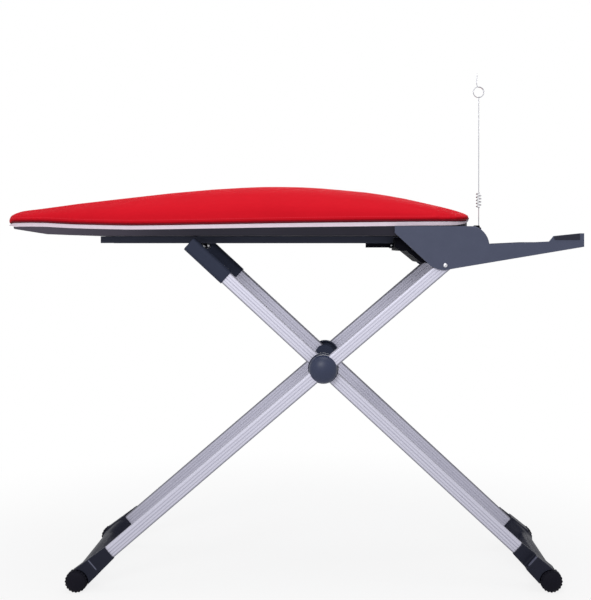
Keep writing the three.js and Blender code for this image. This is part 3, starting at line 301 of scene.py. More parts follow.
# %% Cloth and felt
THREAD = 0.0011
STITCH_HEIGHT = 0.0125
STITCH_PITCH = 0.0042
PUCKER_PITCH = 0.017
HEM_MAP = "hem_place"
FULL_TURN = 2 * math.pi


def axes_of(finish, place):
    """The three parts of a place, as numbers."""
    return [finish.node("ShaderNodeSeparateXYZ", {}, {"Vector": place}, out=k) for k in range(3)]


def cover_finish():
    """Plain woven cloth: warp and weft as two rows of ridges that take turns to lie on top.

    The cover's own UV map holds metres along the hem and metres above it. It places painted shade where
    the cloth turns under, the row of stitches over it and the small puckers that the drawcord leaves.
    """
    finish = Finish("cover_cloth")
    place = finish.object_place()
    along, across, _ = axes_of(finish, place)
    hem_place = finish.node("ShaderNodeUVMap", {"uv_map": HEM_MAP}, {})
    round_hem, above_hem, _ = axes_of(finish, hem_place)
    warp = (along * (FULL_TURN / THREAD)).sine()
    weft = (across * (FULL_TURN / THREAD)).sine()
    weave = warp * weft * 0.5 + 0.5
    slub = finish.noise(finish.object_place(stretch=(0.12, 1, 1)), 260)
    patches = finish.noise(place, 9.0, detail=4)
    tone = weave * 0.16 + slub * 0.24 + patches * 0.6
    cloth = finish.blend(tone, rgb(196, 10, 28), rgb(222, 22, 40))
    # Painted shade: the lowest few millimetres darken where the cloth turns under.
    turned_under_shade = 1 - above_hem.above(0.0045, 0.0045)
    color = finish.blend(turned_under_shade * 0.5, cloth, rgb(112, 10, 22))
    line = 1 - (above_hem - STITCH_HEIGHT).size().above(0.0006, 0.0003)
    stitch = line * (round_hem * (FULL_TURN / STITCH_PITCH)).sine().above(-0.4, 0.3)
    color = finish.blend(stitch * 0.6, color, rgb(236, 60, 76))
    near_hem = 1 - above_hem.above(0.013, 0.012)
    pucker = (round_hem * (FULL_TURN / PUCKER_PITCH) + patches * 9.0).sine() * near_hem
    threads = finish.relief(weave * 0.7 + slub * 0.3 + stitch, 0.0002, 0.5)
    puckers = finish.relief(pucker, 0.0008, 0.4, under=threads)
    waves = finish.relief(finish.noise(place, 11.0, detail=1), 0.0012, 0.35, under=puckers)
    return finish.surface(
        base_color=color, roughness=tone * 0.12 + 0.7, specular=0.08, normal=waves,
        sheen_weight=0.04, sheen_roughness=0.45, sheen_tint=rgb(255, 130, 140),
    )


def felt_finish():
    """Pressed felt: short fibres in every direction, so the noise is fine and has no direction."""
    finish = Finish("pale_felt")
    place = finish.object_place()
    fuzz = finish.noise(place, 900, detail=4, roughness=0.7)
    clumps = finish.noise(place, 120, detail=3)
    color = finish.blend(fuzz * 0.5 + clumps * 0.5, rgb(228, 208, 223), rgb(252, 240, 251))
    return finish.surface(
        base_color=color, roughness=0.92, specular=0.15, normal=finish.relief(fuzz + clumps, 0.0004, 0.6),
        sheen_weight=0.2, sheen_roughness=0.6,
    )


FINISHES = {"cover_cloth": cover_finish(), "pale_felt": felt_finish()}
print(sorted(FINISHES))

# %% Moulded plastic and rubber
def moulded_finish(name, dark, light, roughness, grain=0.00006, specular=0.18, highlight_at=None):
    """Injection moulded plastic: a spark-eroded grain, and handling marks that dull it in patches.

    A function can be given that says where to paint a highlight.
    """
    finish = Finish(name)
    place = finish.object_place()
    pits = finish.noise(place, 1500, detail=2)
    marks = finish.noise(place, 24, detail=5, roughness=0.65)
    color = finish.blend(pits * 0.35 + marks * 0.65, dark, light)
    if highlight_at is not None:
        # Painted highlight where the given function says.
        color = finish.blend(highlight_at(finish) * (marks * 0.5 + 0.5), color, rgb(112, 114, 134))
    return finish.surface(
        base_color=color, roughness=marks * 0.16 + (roughness - 0.08), specular=specular,
        normal=finish.relief(pits, grain, 0.6),
    )


FINISHES["slate_plastic"] = moulded_finish("slate_plastic", rgb(70, 75, 95), rgb(85, 90, 111), 0.46)
FINISHES["black_plastic"] = moulded_finish(
    "black_plastic", rgb(12, 12, 18), rgb(22, 22, 30), 0.66, specular=0.03,
)
FINISHES["rubber"] = moulded_finish("rubber", rgb(16, 16, 23), rgb(28, 27, 37), 0.72, 0.0001, 0.08)
FINISHES["heater_film"] = moulded_finish("heater_film", rgb(92, 55, 34), rgb(128, 80, 50), 0.5)
hub_plastic = moulded_finish("hub_plastic", rgb(44, 51, 74), rgb(55, 62, 88), 0.38, specular=0.3)
dull_slate = moulded_finish("dull_slate", rgb(44, 49, 66), rgb(57, 62, 80), 0.6, specular=0.08)
pad_rubber = moulded_finish("pad_rubber", rgb(40, 41, 52), rgb(52, 53, 66), 0.6, specular=0.12)
print(sorted(FINISHES))

# %% Painted, plated and anodised metal
def painted_finish(name, dark, light, roughness, lit_end=None):
    """Satin paint on sheet steel, with a faint orange peel, and if asked painted light that makes it
    lighter toward one end.
    """
    finish = Finish(name)
    place = finish.object_place()
    peel = finish.noise(place, 330, detail=1)
    cloud = finish.noise(place, 7, detail=3)
    color = finish.blend(cloud, dark, light)
    if lit_end:
        start, run, lit_color = lit_end
        # Painted light: lighter toward the low end of X, where the pan's nose catches the light.
        painted_light = 1 - finish.distance_along((1, 0, 0)).above(start, run)
        color = finish.blend(painted_light * (cloud * 0.3 + 0.65), color, lit_color)
    return finish.surface(
        base_color=color, roughness=cloud * 0.12 + roughness, specular=0.1,
        normal=finish.relief(peel, 0.00008, 0.5),
    )


def drawn_lines(finish, turn=(0, 0, 0)):
    """Long streaks in the direction in which metal came through a die."""
    place = finish.object_place(turn, stretch=(0.9, 0.0012, 0.0012))
    return finish.noise(place, 1.6, detail=4, roughness=0.6)


def drawn_finish(name, dark, light, roughness):
    """Bright metal with drawn lines and fine specks."""
    finish = Finish(name)
    lines = drawn_lines(finish)
    specks = finish.noise(finish.object_place(), 700, detail=2)
    color = finish.blend(lines * 0.75 + specks * 0.25, dark, light)
    return finish.surface(
        base_color=color, metallic=1.0, roughness=lines * 0.2 + (roughness - 0.1),
        normal=finish.relief(lines, 0.00003, 0.5),
    )


# The pan gets painted light toward its nose end.
FINISHES["pan_paint"] = painted_finish(
    "pan_paint", rgb(34, 33, 42), rgb(46, 44, 54), 0.46, lit_end=(-0.42, 0.26, rgb(92, 86, 98)),
)
FINISHES["rail_paint"] = painted_finish("rail_paint", rgb(58, 61, 76), rgb(70, 74, 90), 0.4)
FINISHES["zinc_steel"] = drawn_finish("zinc_steel", rgb(150, 151, 157), rgb(196, 197, 203), 0.38)
FINISHES["chrome"] = drawn_finish("chrome", rgb(190, 190, 196), rgb(222, 222, 227), 0.16)
FINISHES["chrome_wire"] = drawn_finish("chrome_wire", rgb(150, 150, 156), rgb(190, 190, 196), 0.24)
print(sorted(FINISHES))

# %% [markdown]
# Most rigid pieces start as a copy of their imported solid. Real moulded or pressed parts never have
# a knife edge, and a small round along each edge is what catches the light. So the copy is merged,
# its flat faces are made whole again, and a bevel rounds every edge that is sharper than a limit.

# %% Helpers for pieces
def merged_copy(node, whole_faces=True):
    """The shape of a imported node, merged, with its flat faces whole again."""
    form = bmesh.new()
    form.from_mesh(nodes[node].data)
    bmesh.ops.remove_doubles(form, verts=form.verts, dist=0.02 * MM)
    if whole_faces:
        bmesh.ops.dissolve_limit(form, angle_limit=math.radians(1), verts=form.verts, edges=form.edges)
    return form


def round_edges(form, radius, segments=2, sharper_than=28, where=None, clamp=True):
    """Bevels the edges whose faces meet at more than an angle, in degrees."""
    limit = math.radians(sharper_than)
    edges = [e for e in form.edges if e.is_manifold and e.calc_face_angle() > limit]
    if where is not None:
        edges = [e for e in edges if where(e)]
    bmesh.ops.bevel(
        form, geom=edges, offset=radius, offset_type="OFFSET", segments=segments, profile=0.5,
        affect="EDGES", clamp_overlap=clamp, material=-1,
    )
    return form


def dressed(name, form, slot, body, replaced=(), finish=None, smooth_below=40):
    """A finished piece: its mesh, its finish, the body it rides on and the nodes it stands for."""
    made = mesh_object(name, form, finish or FINISHES[slot])
    made.data.shade_smooth()
    made.data.set_sharp_from_angle(angle=math.radians(smooth_below))
    even = made.modifiers.new("even_shading", "WEIGHTED_NORMAL")
    even.keep_sharp = True
    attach(made, body)
    if replaced:
        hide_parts(*replaced)
    return made


def softened(node, radius):
    """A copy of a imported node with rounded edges, standing in its place."""
    form = round_edges(merged_copy(node), radius)
    dressed(f"{node}_moulded", form, slot_of_node[node], body_of_node[node], [node])


def settled(made):
    """Applies the modifiers of an object to its mesh."""
    seen = made.evaluated_get(bpy.context.evaluated_depsgraph_get())
    made.data = bpy.data.meshes.new_from_object(seen)
    made.modifiers.clear()
    return made


def evened(made, voxel, smoothing):
    """Rebuilds a closed mesh from even quads, and smooths its edges."""
    remesh = made.modifiers.new("even_quads", "REMESH")
    remesh.mode = "VOXEL"
    remesh.voxel_size = voxel
    evening = made.modifiers.new("even", "SMOOTH")
    evening.factor = 0.5
    evening.iterations = smoothing
    return settled(made)


def wire_mesh(name, points, radius, closed=False, sides=6, spline="BEZIER"):
    """A round wire through points, as a mesh at the origin."""
    curve = bpy.data.curves.new(name, "CURVE")
    curve.dimensions = "3D"
    curve.bevel_depth = radius
    curve.bevel_resolution = sides // 2 - 1
    curve.resolution_u = 6
    curve.use_fill_caps = not closed
    line = curve.splines.new(spline)
    line.use_cyclic_u = closed
    if spline == "BEZIER":
        line.bezier_points.add(len(points) - 1)
        for knot, place in zip(line.bezier_points, points):
            knot.co = place
            knot.handle_left_type = knot.handle_right_type = "AUTO"
    else:
        line.points.add(len(points) - 1)
        for knot, place in zip(line.points, points):
            knot.co = (*place, 1)
    shaped = bpy.data.objects.new(f"{name}_line", curve)
    bpy.context.scene.collection.objects.link(shaped)
    seen = shaped.evaluated_get(bpy.context.evaluated_depsgraph_get())
    form = bmesh.new()
    form.from_mesh(seen.to_mesh())
    bpy.data.objects.remove(shaped)
    bmesh.ops.remove_doubles(form, verts=form.verts, dist=0.01 * MM)
    return form


print("helpers ready")

# %% [markdown]
# The board's rim isn't level: it rises to the nose and more steeply at the tail. Its line and its
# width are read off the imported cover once, and the hem, the stitches and the puckers follow them.

# %% Lines of the board
def station_table(node, pick):
    """[place along the board, value] rows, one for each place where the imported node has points."""
    rows = {}
    for vertex in nodes[node].data.vertices:
        rows.setdefault(round(vertex.co.x, 4), []).append(vertex.co)
    return sorted([x, pick(points)] for x, points in rows.items())


def reading(table, x):
    """A straight-line reading between the rows of a table."""
    for (x0, v0), (x1, v1) in zip(table, table[1:]):
        if x <= x1:
            return v0 + (v1 - v0) * max(0.0, x - x0) / (x1 - x0)
    return table[-1][1]


rim_line = station_table("cover", lambda points: min(p.z for p in points))
half_line = station_table("cover", lambda points: max(p.y for p in points))
hem_line = [[half_line[0][0], 0.0]]
for (x0, w0), (x1, w1) in zip(half_line, half_line[1:]):
    hem_line.append([x1, hem_line[-1][1] + math.hypot(x1 - x0, w1 - w0)])
print(len(rim_line), "stations, hem", round(2 * hem_line[-1][1], 3), "m round")

# %% [markdown]
# The cover is stretched over foam, so it is tight and crowned, and only pulls in at its hem. Its
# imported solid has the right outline. Remeshed into even quads and blown up a little by the cloth
# solver, with the hem held, it gets the soft, slightly uneven fullness that foam gives. The remesh
# eats a little off each corner and the swelling gives it back, by two millimetres at most.

# %% Padded cover
COVER_VOXEL = 0.0065
COVER_SWELL = 0.002
HEM_HEIGHT = 0.0105
SWELL_STEPS = 16
SWELL_PRESSURE = 3.0


def swollen(made, pinned):
    """Blows a closed mesh up with the cloth solver, and limits how far a point may move."""
    start = [v.co.copy() for v in made.data.vertices]
    held = made.vertex_groups.new(name="held")
    held.add([v.index for v in made.data.vertices if pinned(v.co)], 1.0, "REPLACE")
    cloth = made.modifiers.new("cloth", "CLOTH")
    cloth.settings.use_pressure = True
    cloth.settings.uniform_pressure_force = SWELL_PRESSURE
    cloth.settings.vertex_group_mass = "held"
    cloth.settings.effector_weights.gravity = 0
    cloth.collision_settings.use_self_collision = False
    cloth.point_cache.frame_start = 1
    cloth.point_cache.frame_end = SWELL_STEPS
    for step in range(1, SWELL_STEPS + 1):
        bpy.context.scene.frame_set(step)
    settled(made)
    bpy.context.scene.frame_set(1)
    for vertex, before in zip(made.data.vertices, start):
        moved = vertex.co - before
        if moved.length > COVER_SWELL:
            vertex.co = before + moved * (COVER_SWELL / moved.length)
    made.vertex_groups.clear()


def hem_or_underside(place):
    """True where the board holds the cloth, so it can't swell."""
    return place.z < reading(rim_line, place.x) + HEM_HEIGHT


def map_to_hem(made):
    """A UV map in metres: along the hem from the nose, and up from the rim."""
    layer = made.data.uv_layers.new(name=HEM_MAP)
    places = [
        (reading(hem_line, v.co.x), v.co.z - reading(rim_line, v.co.x)) for v in made.data.vertices
    ]
    for loop in made.data.loops:
        layer.data[loop.index].uv = places[loop.vertex_index]


cover = mesh_object("padded_cover", merged_copy("cover", whole_faces=False), FINISHES["cover_cloth"])
evened(cover, COVER_VOXEL, smoothing=4)
swollen(cover, hem_or_underside)
finer = cover.modifiers.new("finer", "SUBSURF")
finer.levels = finer.render_levels = 1
settled(cover)
map_to_hem(cover)
cover.data.shade_smooth()
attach(cover, "board")
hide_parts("cover")
print("cover", len(cover.data.polygons), "faces", [round(v, 4) for v in cover.dimensions])

# %% [markdown]
# The hem is a darker binding with a cord in it, which runs round the lower edge. Its path is the
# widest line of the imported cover. Below it lies the pale felt, whose rim bulges a little.

# %% Hem and felt
FELT_ROUND = 3.6 * MM
HEM_RADIUS = 0.0019
HEM_ABOVE_RIM = 0.0021
HEM_INSET = 0.0016
HEM_LEAST_HALF = 0.035


def round_board(inset, above):
    """A closed path round the board, a little inside its outline and above its rim."""
    rows = [[x, half - inset] for x, half in half_line if half > HEM_LEAST_HALF]
    near = [Vector((x, -half, reading(rim_line, x) + above)) for x, half in rows]
    far = [Vector((x, half, reading(rim_line, x) + above)) for x, half in reversed(rows)]
    return near + far


def corners_cut(path, rounds=2):
    """A closed path with its corners cut, a quarter off each end of each step."""
    for _ in range(rounds):
        steps = zip(path, path[1:] + path[:1])
        path = [q for a, b in steps for q in (a.lerp(b, 0.25), a.lerp(b, 0.75))]
    return path


def hem_finish():
    """Ribbed binding in a darker red than the cloth."""
    finish = Finish("hem_binding")
    ribs = finish.noise(finish.object_place(), 500, detail=3)
    return finish.surface(
        base_color=finish.blend(ribs, rgb(84, 12, 24), rgb(122, 20, 34)), roughness=0.75,
        specular=0.08, normal=finish.relief(ribs, 0.0003, 0.6), sheen_weight=0.05,
    )


hem_path = corners_cut(round_board(HEM_INSET, HEM_ABOVE_RIM))
hem_form = wire_mesh("hem", hem_path, HEM_RADIUS, closed=True, sides=8, spline="POLY")
dressed("cover_hem", hem_form, "cover_cloth", "board", finish=hem_finish())
print("hem", len(hem_path), "knots")

felt_form = round_edges(merged_copy("felt_pad"), FELT_ROUND, segments=4, sharper_than=50)
felt = dressed("felt_band", felt_form, "pale_felt", "board", ["felt_pad"])
print("felt", len(felt.data.polygons), "faces")

# %% [markdown]
# The legs are oval extrusions with three fine grooves down each broad face. A circle is squeezed
# to the oval's rounded edges and pulled apart, its two straight sides are cut into short steps, and
# the steps at the grooves sink in. Extruding that outline along the leg gives crisp lines that run
# its whole length, as the die leaves them. Each leg is made in a frame whose X runs along it.

# %% Frames of the legs
pivot = joint_place["fold"]
hub = joint_place["hub_fold"]
rod = joint_place["slider_tilt"]
outer_lean = math.atan2(pivot.z - hub.z, pivot.x - hub.x)
inner_lean = math.atan2(rod.z - hub.z, hub.x - rod.x)
LEG_FRAMES = {
    "outer": Matrix.Translation((pivot.x, 0, pivot.z)) @ Matrix.Rotation(-outer_lean, 4, "Y"),
    "inner": Matrix.Translation((hub.x, 0, hub.z)) @ Matrix.Rotation(inner_lean, 4, "Y"),
}


def reach_along(node, frame_of_leg):
    """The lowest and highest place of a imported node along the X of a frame, and its middle Y."""
    home = frame_of_leg.inverted()
    along = [(home @ v.co).x for v in nodes[node].data.vertices]
    low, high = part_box(node)
    return min(along), max(along), (low.y + high.y) / 2


print("legs lean", round(math.degrees(outer_lean), 2), round(math.degrees(inner_lean), 2))

# %% Grooved legs
LEG_THICKNESS = 18 * MM
LEG_WIDTH = 33 * MM
LEG_EDGE = 6 * MM
LEG_SIDES = 48
LEG_CUTS = 42
GROOVES = [-6.93 * MM, 0, 6.93 * MM]
GROOVE_DEPTH = 0.7 * MM
GROOVE_HALF = 1.3 * MM
GROOVE_SHADE_HALF = 1.1 * MM
DARK_RIM_FROM = 13 * MM
LOW_FROM = 0.33


def oval_ring(form, width, thickness, edge):
    """An oval section in the YZ plane with two straight sides, whose edges it returns."""
    bmesh.ops.create_circle(form, radius=1, segments=LEG_SIDES)
    flat = width / 2 - edge
    for vertex in form.verts:
        across, up, _ = vertex.co
        shift = 0 if abs(up) < 1e-4 else math.copysign(flat, up)
        vertex.co = (0, across * thickness / 2, up * edge + shift)
    return [e for e in form.edges if e.calc_length() > flat / 2]


def drawn_bar(form, x0, x1, y):
    """Extrudes a ring in the YZ plane from one place to another, and closes both ends."""
    bmesh.ops.translate(form, verts=form.verts, vec=(x0, y, 0))
    grown = bmesh.ops.extrude_edge_only(form, edges=form.edges[:])
    far_end = [v for v in grown["geom"] if isinstance(v, bmesh.types.BMVert)]
    bmesh.ops.translate(form, verts=far_end, vec=(x1 - x0, 0, 0))
    bmesh.ops.holes_fill(form, edges=form.edges)
    bmesh.ops.recalc_face_normals(form, faces=form.faces)
    return form


def leg_form(node, frame_of_leg):
    """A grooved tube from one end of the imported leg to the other."""
    x0, x1, y = reach_along(node, frame_of_leg)
    form = bmesh.new()
    straight = oval_ring(form, LEG_WIDTH, LEG_THICKNESS, LEG_EDGE)
    bmesh.ops.subdivide_edges(form, edges=straight, cuts=LEG_CUTS)
    for vertex in form.verts:
        depth = max(1 - abs(vertex.co.z - g) / GROOVE_HALF for g in GROOVES)
        if depth > 0 and abs(vertex.co.y) > LEG_THICKNESS / 2 - 1e-5:
            vertex.co.y -= math.copysign(GROOVE_DEPTH * (1 - (1 - depth) ** 2), vertex.co.y)
    drawn_bar(form, x0, x1, y)
    bmesh.ops.transform(form, matrix=frame_of_leg, verts=form.verts)
    return form


def anodised_finish(name, frame_of_leg, middle):
    """Drawn aluminium with streaks, and painted shade: darker in its grooves, along its edges and rims,
    on its inward face and toward the floor.
    """
    finish = Finish(name)
    upward = frame_of_leg.col[2].xyz
    lines = drawn_lines(finish, frame_of_leg.to_euler())
    across = finish.distance_along((0, 1, 0)).size()
    height = finish.distance_along(upward, frame_of_leg.translation.dot(upward))
    # Painted shade in the three grooves.
    groove = 0
    for place in GROOVES:
        groove = groove + (1 - (height - place).size().above(GROOVE_SHADE_HALF, 0.5 * MM))
    outward = across.above(middle - LEG_THICKNESS / 2 + 0.5 * MM, 1 * MM)
    inward_half = 1 - across.above(middle, 1 * MM)
    # Painted shade along the rounded long edges, on the rims of the inward half and on the lower rim of
    # the outward face.
    edge = height.size().above(LEG_WIDTH / 2 - 0.6 * MM, 0.6 * MM)
    rims = height.size().above(DARK_RIM_FROM, 2.2 * MM) * inward_half
    lower_rim = (height * -1.0).above(DARK_RIM_FROM, 2.2 * MM) * outward
    # Painted shade: darker toward the floor.
    low = 1 - finish.distance_along((0, 0, 1)).above(LOW_FROM, 0.3)
    # A lit copy of the metal for the outward face and a shaded copy for the inward face: painted light
    # and shade.
    lit_skin = finish.blend(lines, rgb(204, 203, 220), rgb(224, 223, 238))
    shaded_skin = finish.blend(lines, rgb(188, 187, 205), rgb(210, 209, 226))
    skin = finish.blend(outward, shaded_skin, lit_skin)
    # The painted shade of the grooves, the edges and the low part, in one dark colour.
    painted_shade = groove * (outward * 0.12 + 0.18) + edge * 0.6 + low * 0.13
    color = finish.blend(painted_shade, skin, rgb(96, 95, 114))
    # Painted shade on the rims.
    color = finish.blend(rims * 0.7 + lower_rim * 0.6, color, rgb(52, 52, 63))
    return finish.surface(
        base_color=color, metallic=0.35, roughness=lines * 0.12 + 0.44,
        normal=finish.relief(lines, 0.00001, 0.2), specular=0.2,
    )


for kind, frame_of_leg in LEG_FRAMES.items():
    middle = abs(reach_along(f"{kind}_leg_near", frame_of_leg)[2])
    finish = anodised_finish(f"anodised_{kind}", frame_of_leg, middle)
    for side in ("near", "far"):
        node = f"{kind}_leg_{side}"
        form = leg_form(node, frame_of_leg)
        dressed(f"{node}_grooved", form, "anodised", f"{kind}_legs", [node], finish, 25)
print("four grooved legs")

# %% [markdown]
# At each crossing a round dome sits over the outer leg, a cup over the inner leg and a dished disc
# inside that. All are turned shapes, so a profile is spun round a line across the table. Dome and
# cup have a slot for their leg, which is carved with an oval bar in a Boolean modifier, because the
# slot's edge is a curve on a dome that no extrusion gives.

# %% Turning and carving
def turned(profile, sides=64):
    """A solid spun round the Y axis, from [radius, place along Y] points in millimetres."""
    form = bmesh.new()
    corners = [form.verts.new((radius * MM, along * MM, 0)) for radius, along in profile]
    for first, second in zip(corners, corners[1:]):
        form.edges.new((first, second))
    bmesh.ops.spin(
        form, geom=form.verts[:] + form.edges[:], cent=(0, 0, 0), axis=(0, 1, 0), dvec=(0, 0, 0),
        angle=FULL_TURN, steps=sides, use_merge=True,
    )
    bmesh.ops.remove_doubles(form, verts=form.verts, dist=0.005 * MM)
    bmesh.ops.recalc_face_normals(form, faces=form.faces)
    return form


def arc(middle, radii, start, end, steps):
    """Points of a quarter or other part of an oval, angles in degrees."""
    turns = [math.radians(start + (end - start) * k / steps) for k in range(steps + 1)]
    return [[middle[0] + radii[0] * math.cos(a), middle[1] + radii[1] * math.sin(a)] for a in turns]


def box_form(low, high):
    """A box between two corners."""
    form = bmesh.new()
    bmesh.ops.create_cube(form, size=1)
    size = Vector(high) - Vector(low)
    bmesh.ops.scale(form, verts=form.verts, vec=size)
    bmesh.ops.translate(form, verts=form.verts, vec=(Vector(high) + Vector(low)) / 2)
    return form


def boolean(form, operation, others):
    """The form after a Boolean with each of the others, which are used up."""
    body = mesh_object("shaping", form)
    tools = []
    for other in others:
        tool = mesh_object("tool", other)
        step = body.modifiers.new("step", "BOOLEAN")
        step.operation = operation
        step.solver = "EXACT"
        step.object = tool
        tools.append(tool)
    settled(body)
    shaped = bmesh.new()
    shaped.from_mesh(body.data)
    for helper in [body, *tools]:
        bpy.data.objects.remove(helper)
    bmesh.ops.remove_doubles(shaped, verts=shaped.verts, dist=0.005 * MM)
    return shaped


def to_side(form, side):
    """A form that is modelled on the near side, mirrored where it belongs to the far one."""
    if side == "far":
        bmesh.ops.scale(form, verts=form.verts, vec=(1, -1, 1))
        bmesh.ops.reverse_faces(form, faces=form.faces)
    return form


print("turning and carving ready")

# %% Hub domes and cups
# Radii and places across the table of turned shapes are in millimetres.
SLOT_REACH = 90 * MM
FIT = 0.3
DOME_RADIUS = 35
DOME_INNER = -177.3
DOME_RIM = -189.3
DOME_CROWN = -210.3
CUP_RADIUS = 37.5
CUP_WALL = 3
CUP_OUTER = -176.7
CUP_INNER = -158.7
CUP_WEB = -171.3
OUTER_LEG_Y = -186
INNER_LEG_Y = -162
DISC_RADIUS = 27
DISC_BACK = -152.7
DISC_POCKET = (9.6, -148.4)
DISC_RIM = -148
DISC_EDGE = 2.5


def leg_slot(y, open_to):
    """The room of a leg, with a little fit, and the way it goes in from one side."""
    width = LEG_WIDTH + 2 * FIT * MM
    bar = bmesh.new()
    oval_ring(bar, width, LEG_THICKNESS + 2 * FIT * MM, LEG_EDGE + FIT * MM)
    drawn_bar(bar, -SLOT_REACH, SLOT_REACH, y * MM)
    way_in = box_form((-SLOT_REACH, y * MM, -width / 2), (SLOT_REACH, open_to * MM, width / 2))
    return boolean(bar, "UNION", [way_in])


def dome_form():
    """The round dome over the outer leg."""
    rim = arc((DOME_RADIUS - 1, DOME_INNER - 1), (1, 1), 90, 0, 3)
    crown = arc((0, DOME_RIM), (DOME_RADIUS, DOME_CROWN - DOME_RIM), 0, 90, 14)
    crown[-1][0] = 0
    profile = [[0, DOME_INNER], *rim, *crown]
    return boolean(turned(profile), "DIFFERENCE", [leg_slot(OUTER_LEG_Y, DOME_INNER + 1)])


def cup_form():
    """The cup over the inner leg, open toward the middle of the table."""
    outer = arc((CUP_RADIUS - 1.5, CUP_OUTER + 1.5), (1.5, 1.5), 270, 360, 4)
    lip = arc((CUP_RADIUS - CUP_WALL / 2, CUP_INNER - 1.5), (CUP_WALL / 2, 1.5), 0, 180, 6)
    floor_of_cup = arc((CUP_RADIUS - CUP_WALL - 2, CUP_WEB + 2), (2, 2), 0, -90, 4)
    profile = [[0, CUP_OUTER], *outer, *lip, *floor_of_cup, [0, CUP_WEB]]
    return boolean(turned(profile), "DIFFERENCE", [leg_slot(INNER_LEG_Y, CUP_INNER + 1)])


def disc_form():
    """The dished disc on the inner side, hollow at its back for the nut of the hub pin."""
    pocket_radius, pocket_floor = DISC_POCKET
    back = [[0, pocket_floor], [pocket_radius, pocket_floor], [pocket_radius, DISC_BACK]]
    rim = arc((DISC_RADIUS - DISC_EDGE, DISC_RIM), (DISC_EDGE, DISC_EDGE), 0, 90, 5)
    dish = [[21, -145.9], [12, -146.5], [0, -146.6]]
    return turned([*back, [DISC_RADIUS, DISC_BACK], *rim, *dish])


HUB_PARTS = {
    "hub_dome": (dome_form, "outer"), "hub_cup": (cup_form, "inner"), "hub_disc": (disc_form, "inner"),
}
for name, (shape, kind) in HUB_PARTS.items():
    turn = LEG_FRAMES[kind].to_3x3().to_4x4()
    for side in ("near", "far"):
        form = to_side(shape(), side)
        bmesh.ops.transform(form, matrix=Matrix.Translation((hub.x, 0, hub.z)) @ turn, verts=form.verts)
        node = f"{name}_{side}"
        skin = hub_plastic if name == "hub_dome" else dull_slate
        dressed(f"{node}_turned", form, slot_of_node[node], body_of_node[node], [node], skin)
print("hub at", [round(v, 4) for v in hub])

# %% [markdown]
# The foot bars and the top sleeves are thick mouldings with soft transitions. Their imported solids
# have the right forms but hard edges, and an even voxel remesh with some smoothing turns those into
# the rounded ones that a mould gives. The feet get a painted highlight along a ridge near each cap.

# %% Foot bars and other thick mouldings
FOOT_VOXEL = 1.6 * MM
SLEEVE_VOXEL = 1.3 * MM
CAP_RADIUS = 27
RIDGE_UP_LEG = {"left": 55 * MM, "right": 64.5 * MM}
RIDGE_THICKNESS = {"left": 2.4 * MM, "right": 4.4 * MM}
RIDGE_ACROSS = {"left": (0.1965, 0.21), "right": (0.186, 0.1985)}
RIDGE_ABOVE_MIDDLE = 4.5 * MM
RIDGE_HALF = 14.5 * MM
RIDGE_BLUR = 0.5 * MM


def remoulded(node, voxel, finish):
    """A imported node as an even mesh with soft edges."""
    made = mesh_object(f"{node}_moulded", merged_copy(node, whole_faces=False), finish)
    evened(made, voxel, smoothing=3)
    made.data.shade_smooth()
    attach(made, body_of_node[node])
    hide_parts(node)
    return len(made.data.polygons)


def cap_middle(node):
    """The middle of a packed foot cap, on the table's middle plane."""
    low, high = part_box(node)
    return Vector(((low.x + high.x) / 2, 0, CAP_RADIUS * MM))


def foot_finish(end, kind):
    """The feet's plastic, with a painted highlight along the ridge across each block, where its step
    catches the light.
    """
    middle = cap_middle(f"{end}_foot_cap_near")
    up_leg = LEG_FRAMES[kind].col[0].xyz * (1 if end == "left" else -1)
    across_leg = LEG_FRAMES[kind].col[2].xyz
    inner, outer = RIDGE_ACROSS[end]

    # Painted highlight: a bright line where the step across the block catches the light.
    def ridge_highlight(finish):
        along = finish.distance_along(up_leg, middle.dot(up_leg) + RIDGE_UP_LEG[end]).size()
        height = finish.distance_along(across_leg, middle.dot(across_leg) + RIDGE_ABOVE_MIDDLE).size()
        out = finish.distance_along((0, 1, 0)).size()
        line = 1 - along.above(RIDGE_THICKNESS[end] / 2, RIDGE_BLUR)
        line = line * (1 - height.above(RIDGE_HALF, 3 * MM))
        return line * out.above(inner, RIDGE_BLUR) * (1 - out.above(outer, RIDGE_BLUR))

    dark, light = rgb(25, 27, 39), rgb(37, 39, 53)
    return moulded_finish(f"foot_plastic_{end}", dark, light, 0.52, specular=0.12, highlight_at=ridge_highlight)


for end, kind in (("left", "outer"), ("right", "inner")):
    print(end, "foot", remoulded(f"{end}_foot_bar", FOOT_VOXEL, foot_finish(end, kind)), "faces")
for side in ("near", "far"):
    print(side, "sleeve", remoulded(f"top_sleeve_{side}", SLEEVE_VOXEL, dull_slate), "faces")

# %% [markdown]
# Each foot rests on a hard rubber cap with a ribbed rim, which turns on an axle set a little below
# its middle to level the table. A circle with wavy radius is extruded ring by ring: a chamfer, the
# straight rim, a second chamfer, and smaller and smaller rings for the domed face.

# %% Foot caps
CAP_RIBS = 20
RIB_DEPTH = 1.8
STEPS_A_RIB = 8
CAP_INNER = -178.0
CAP_RIM = -203.0
CAP_DOME = 8.0
CAP_FACE = CAP_RADIUS - 2 * RIB_DEPTH
CAP_RINGS = [
    (CAP_RADIUS - 1.2, 0.8, CAP_INNER), (CAP_RADIUS, 1, CAP_INNER - 1.2),
    (CAP_RADIUS, 1, CAP_RIM + 1.6), (CAP_RADIUS - 1.4, 0.8, CAP_RIM), (CAP_FACE, 0.1, CAP_RIM),
    *[(r, 0, a) for r, a in arc((0, CAP_RIM), (CAP_FACE, -CAP_DOME), 12, 84, 8)],
]


def ribbed_radius(angle, radius, depth):
    """The rim's radius at an angle, in metres, less in the valleys between ribs."""
    valley = 0.5 - 0.5 * math.cos(CAP_RIBS * (angle + math.pi / 2))
    return (radius - depth * RIB_DEPTH * valley ** 1.5) * MM


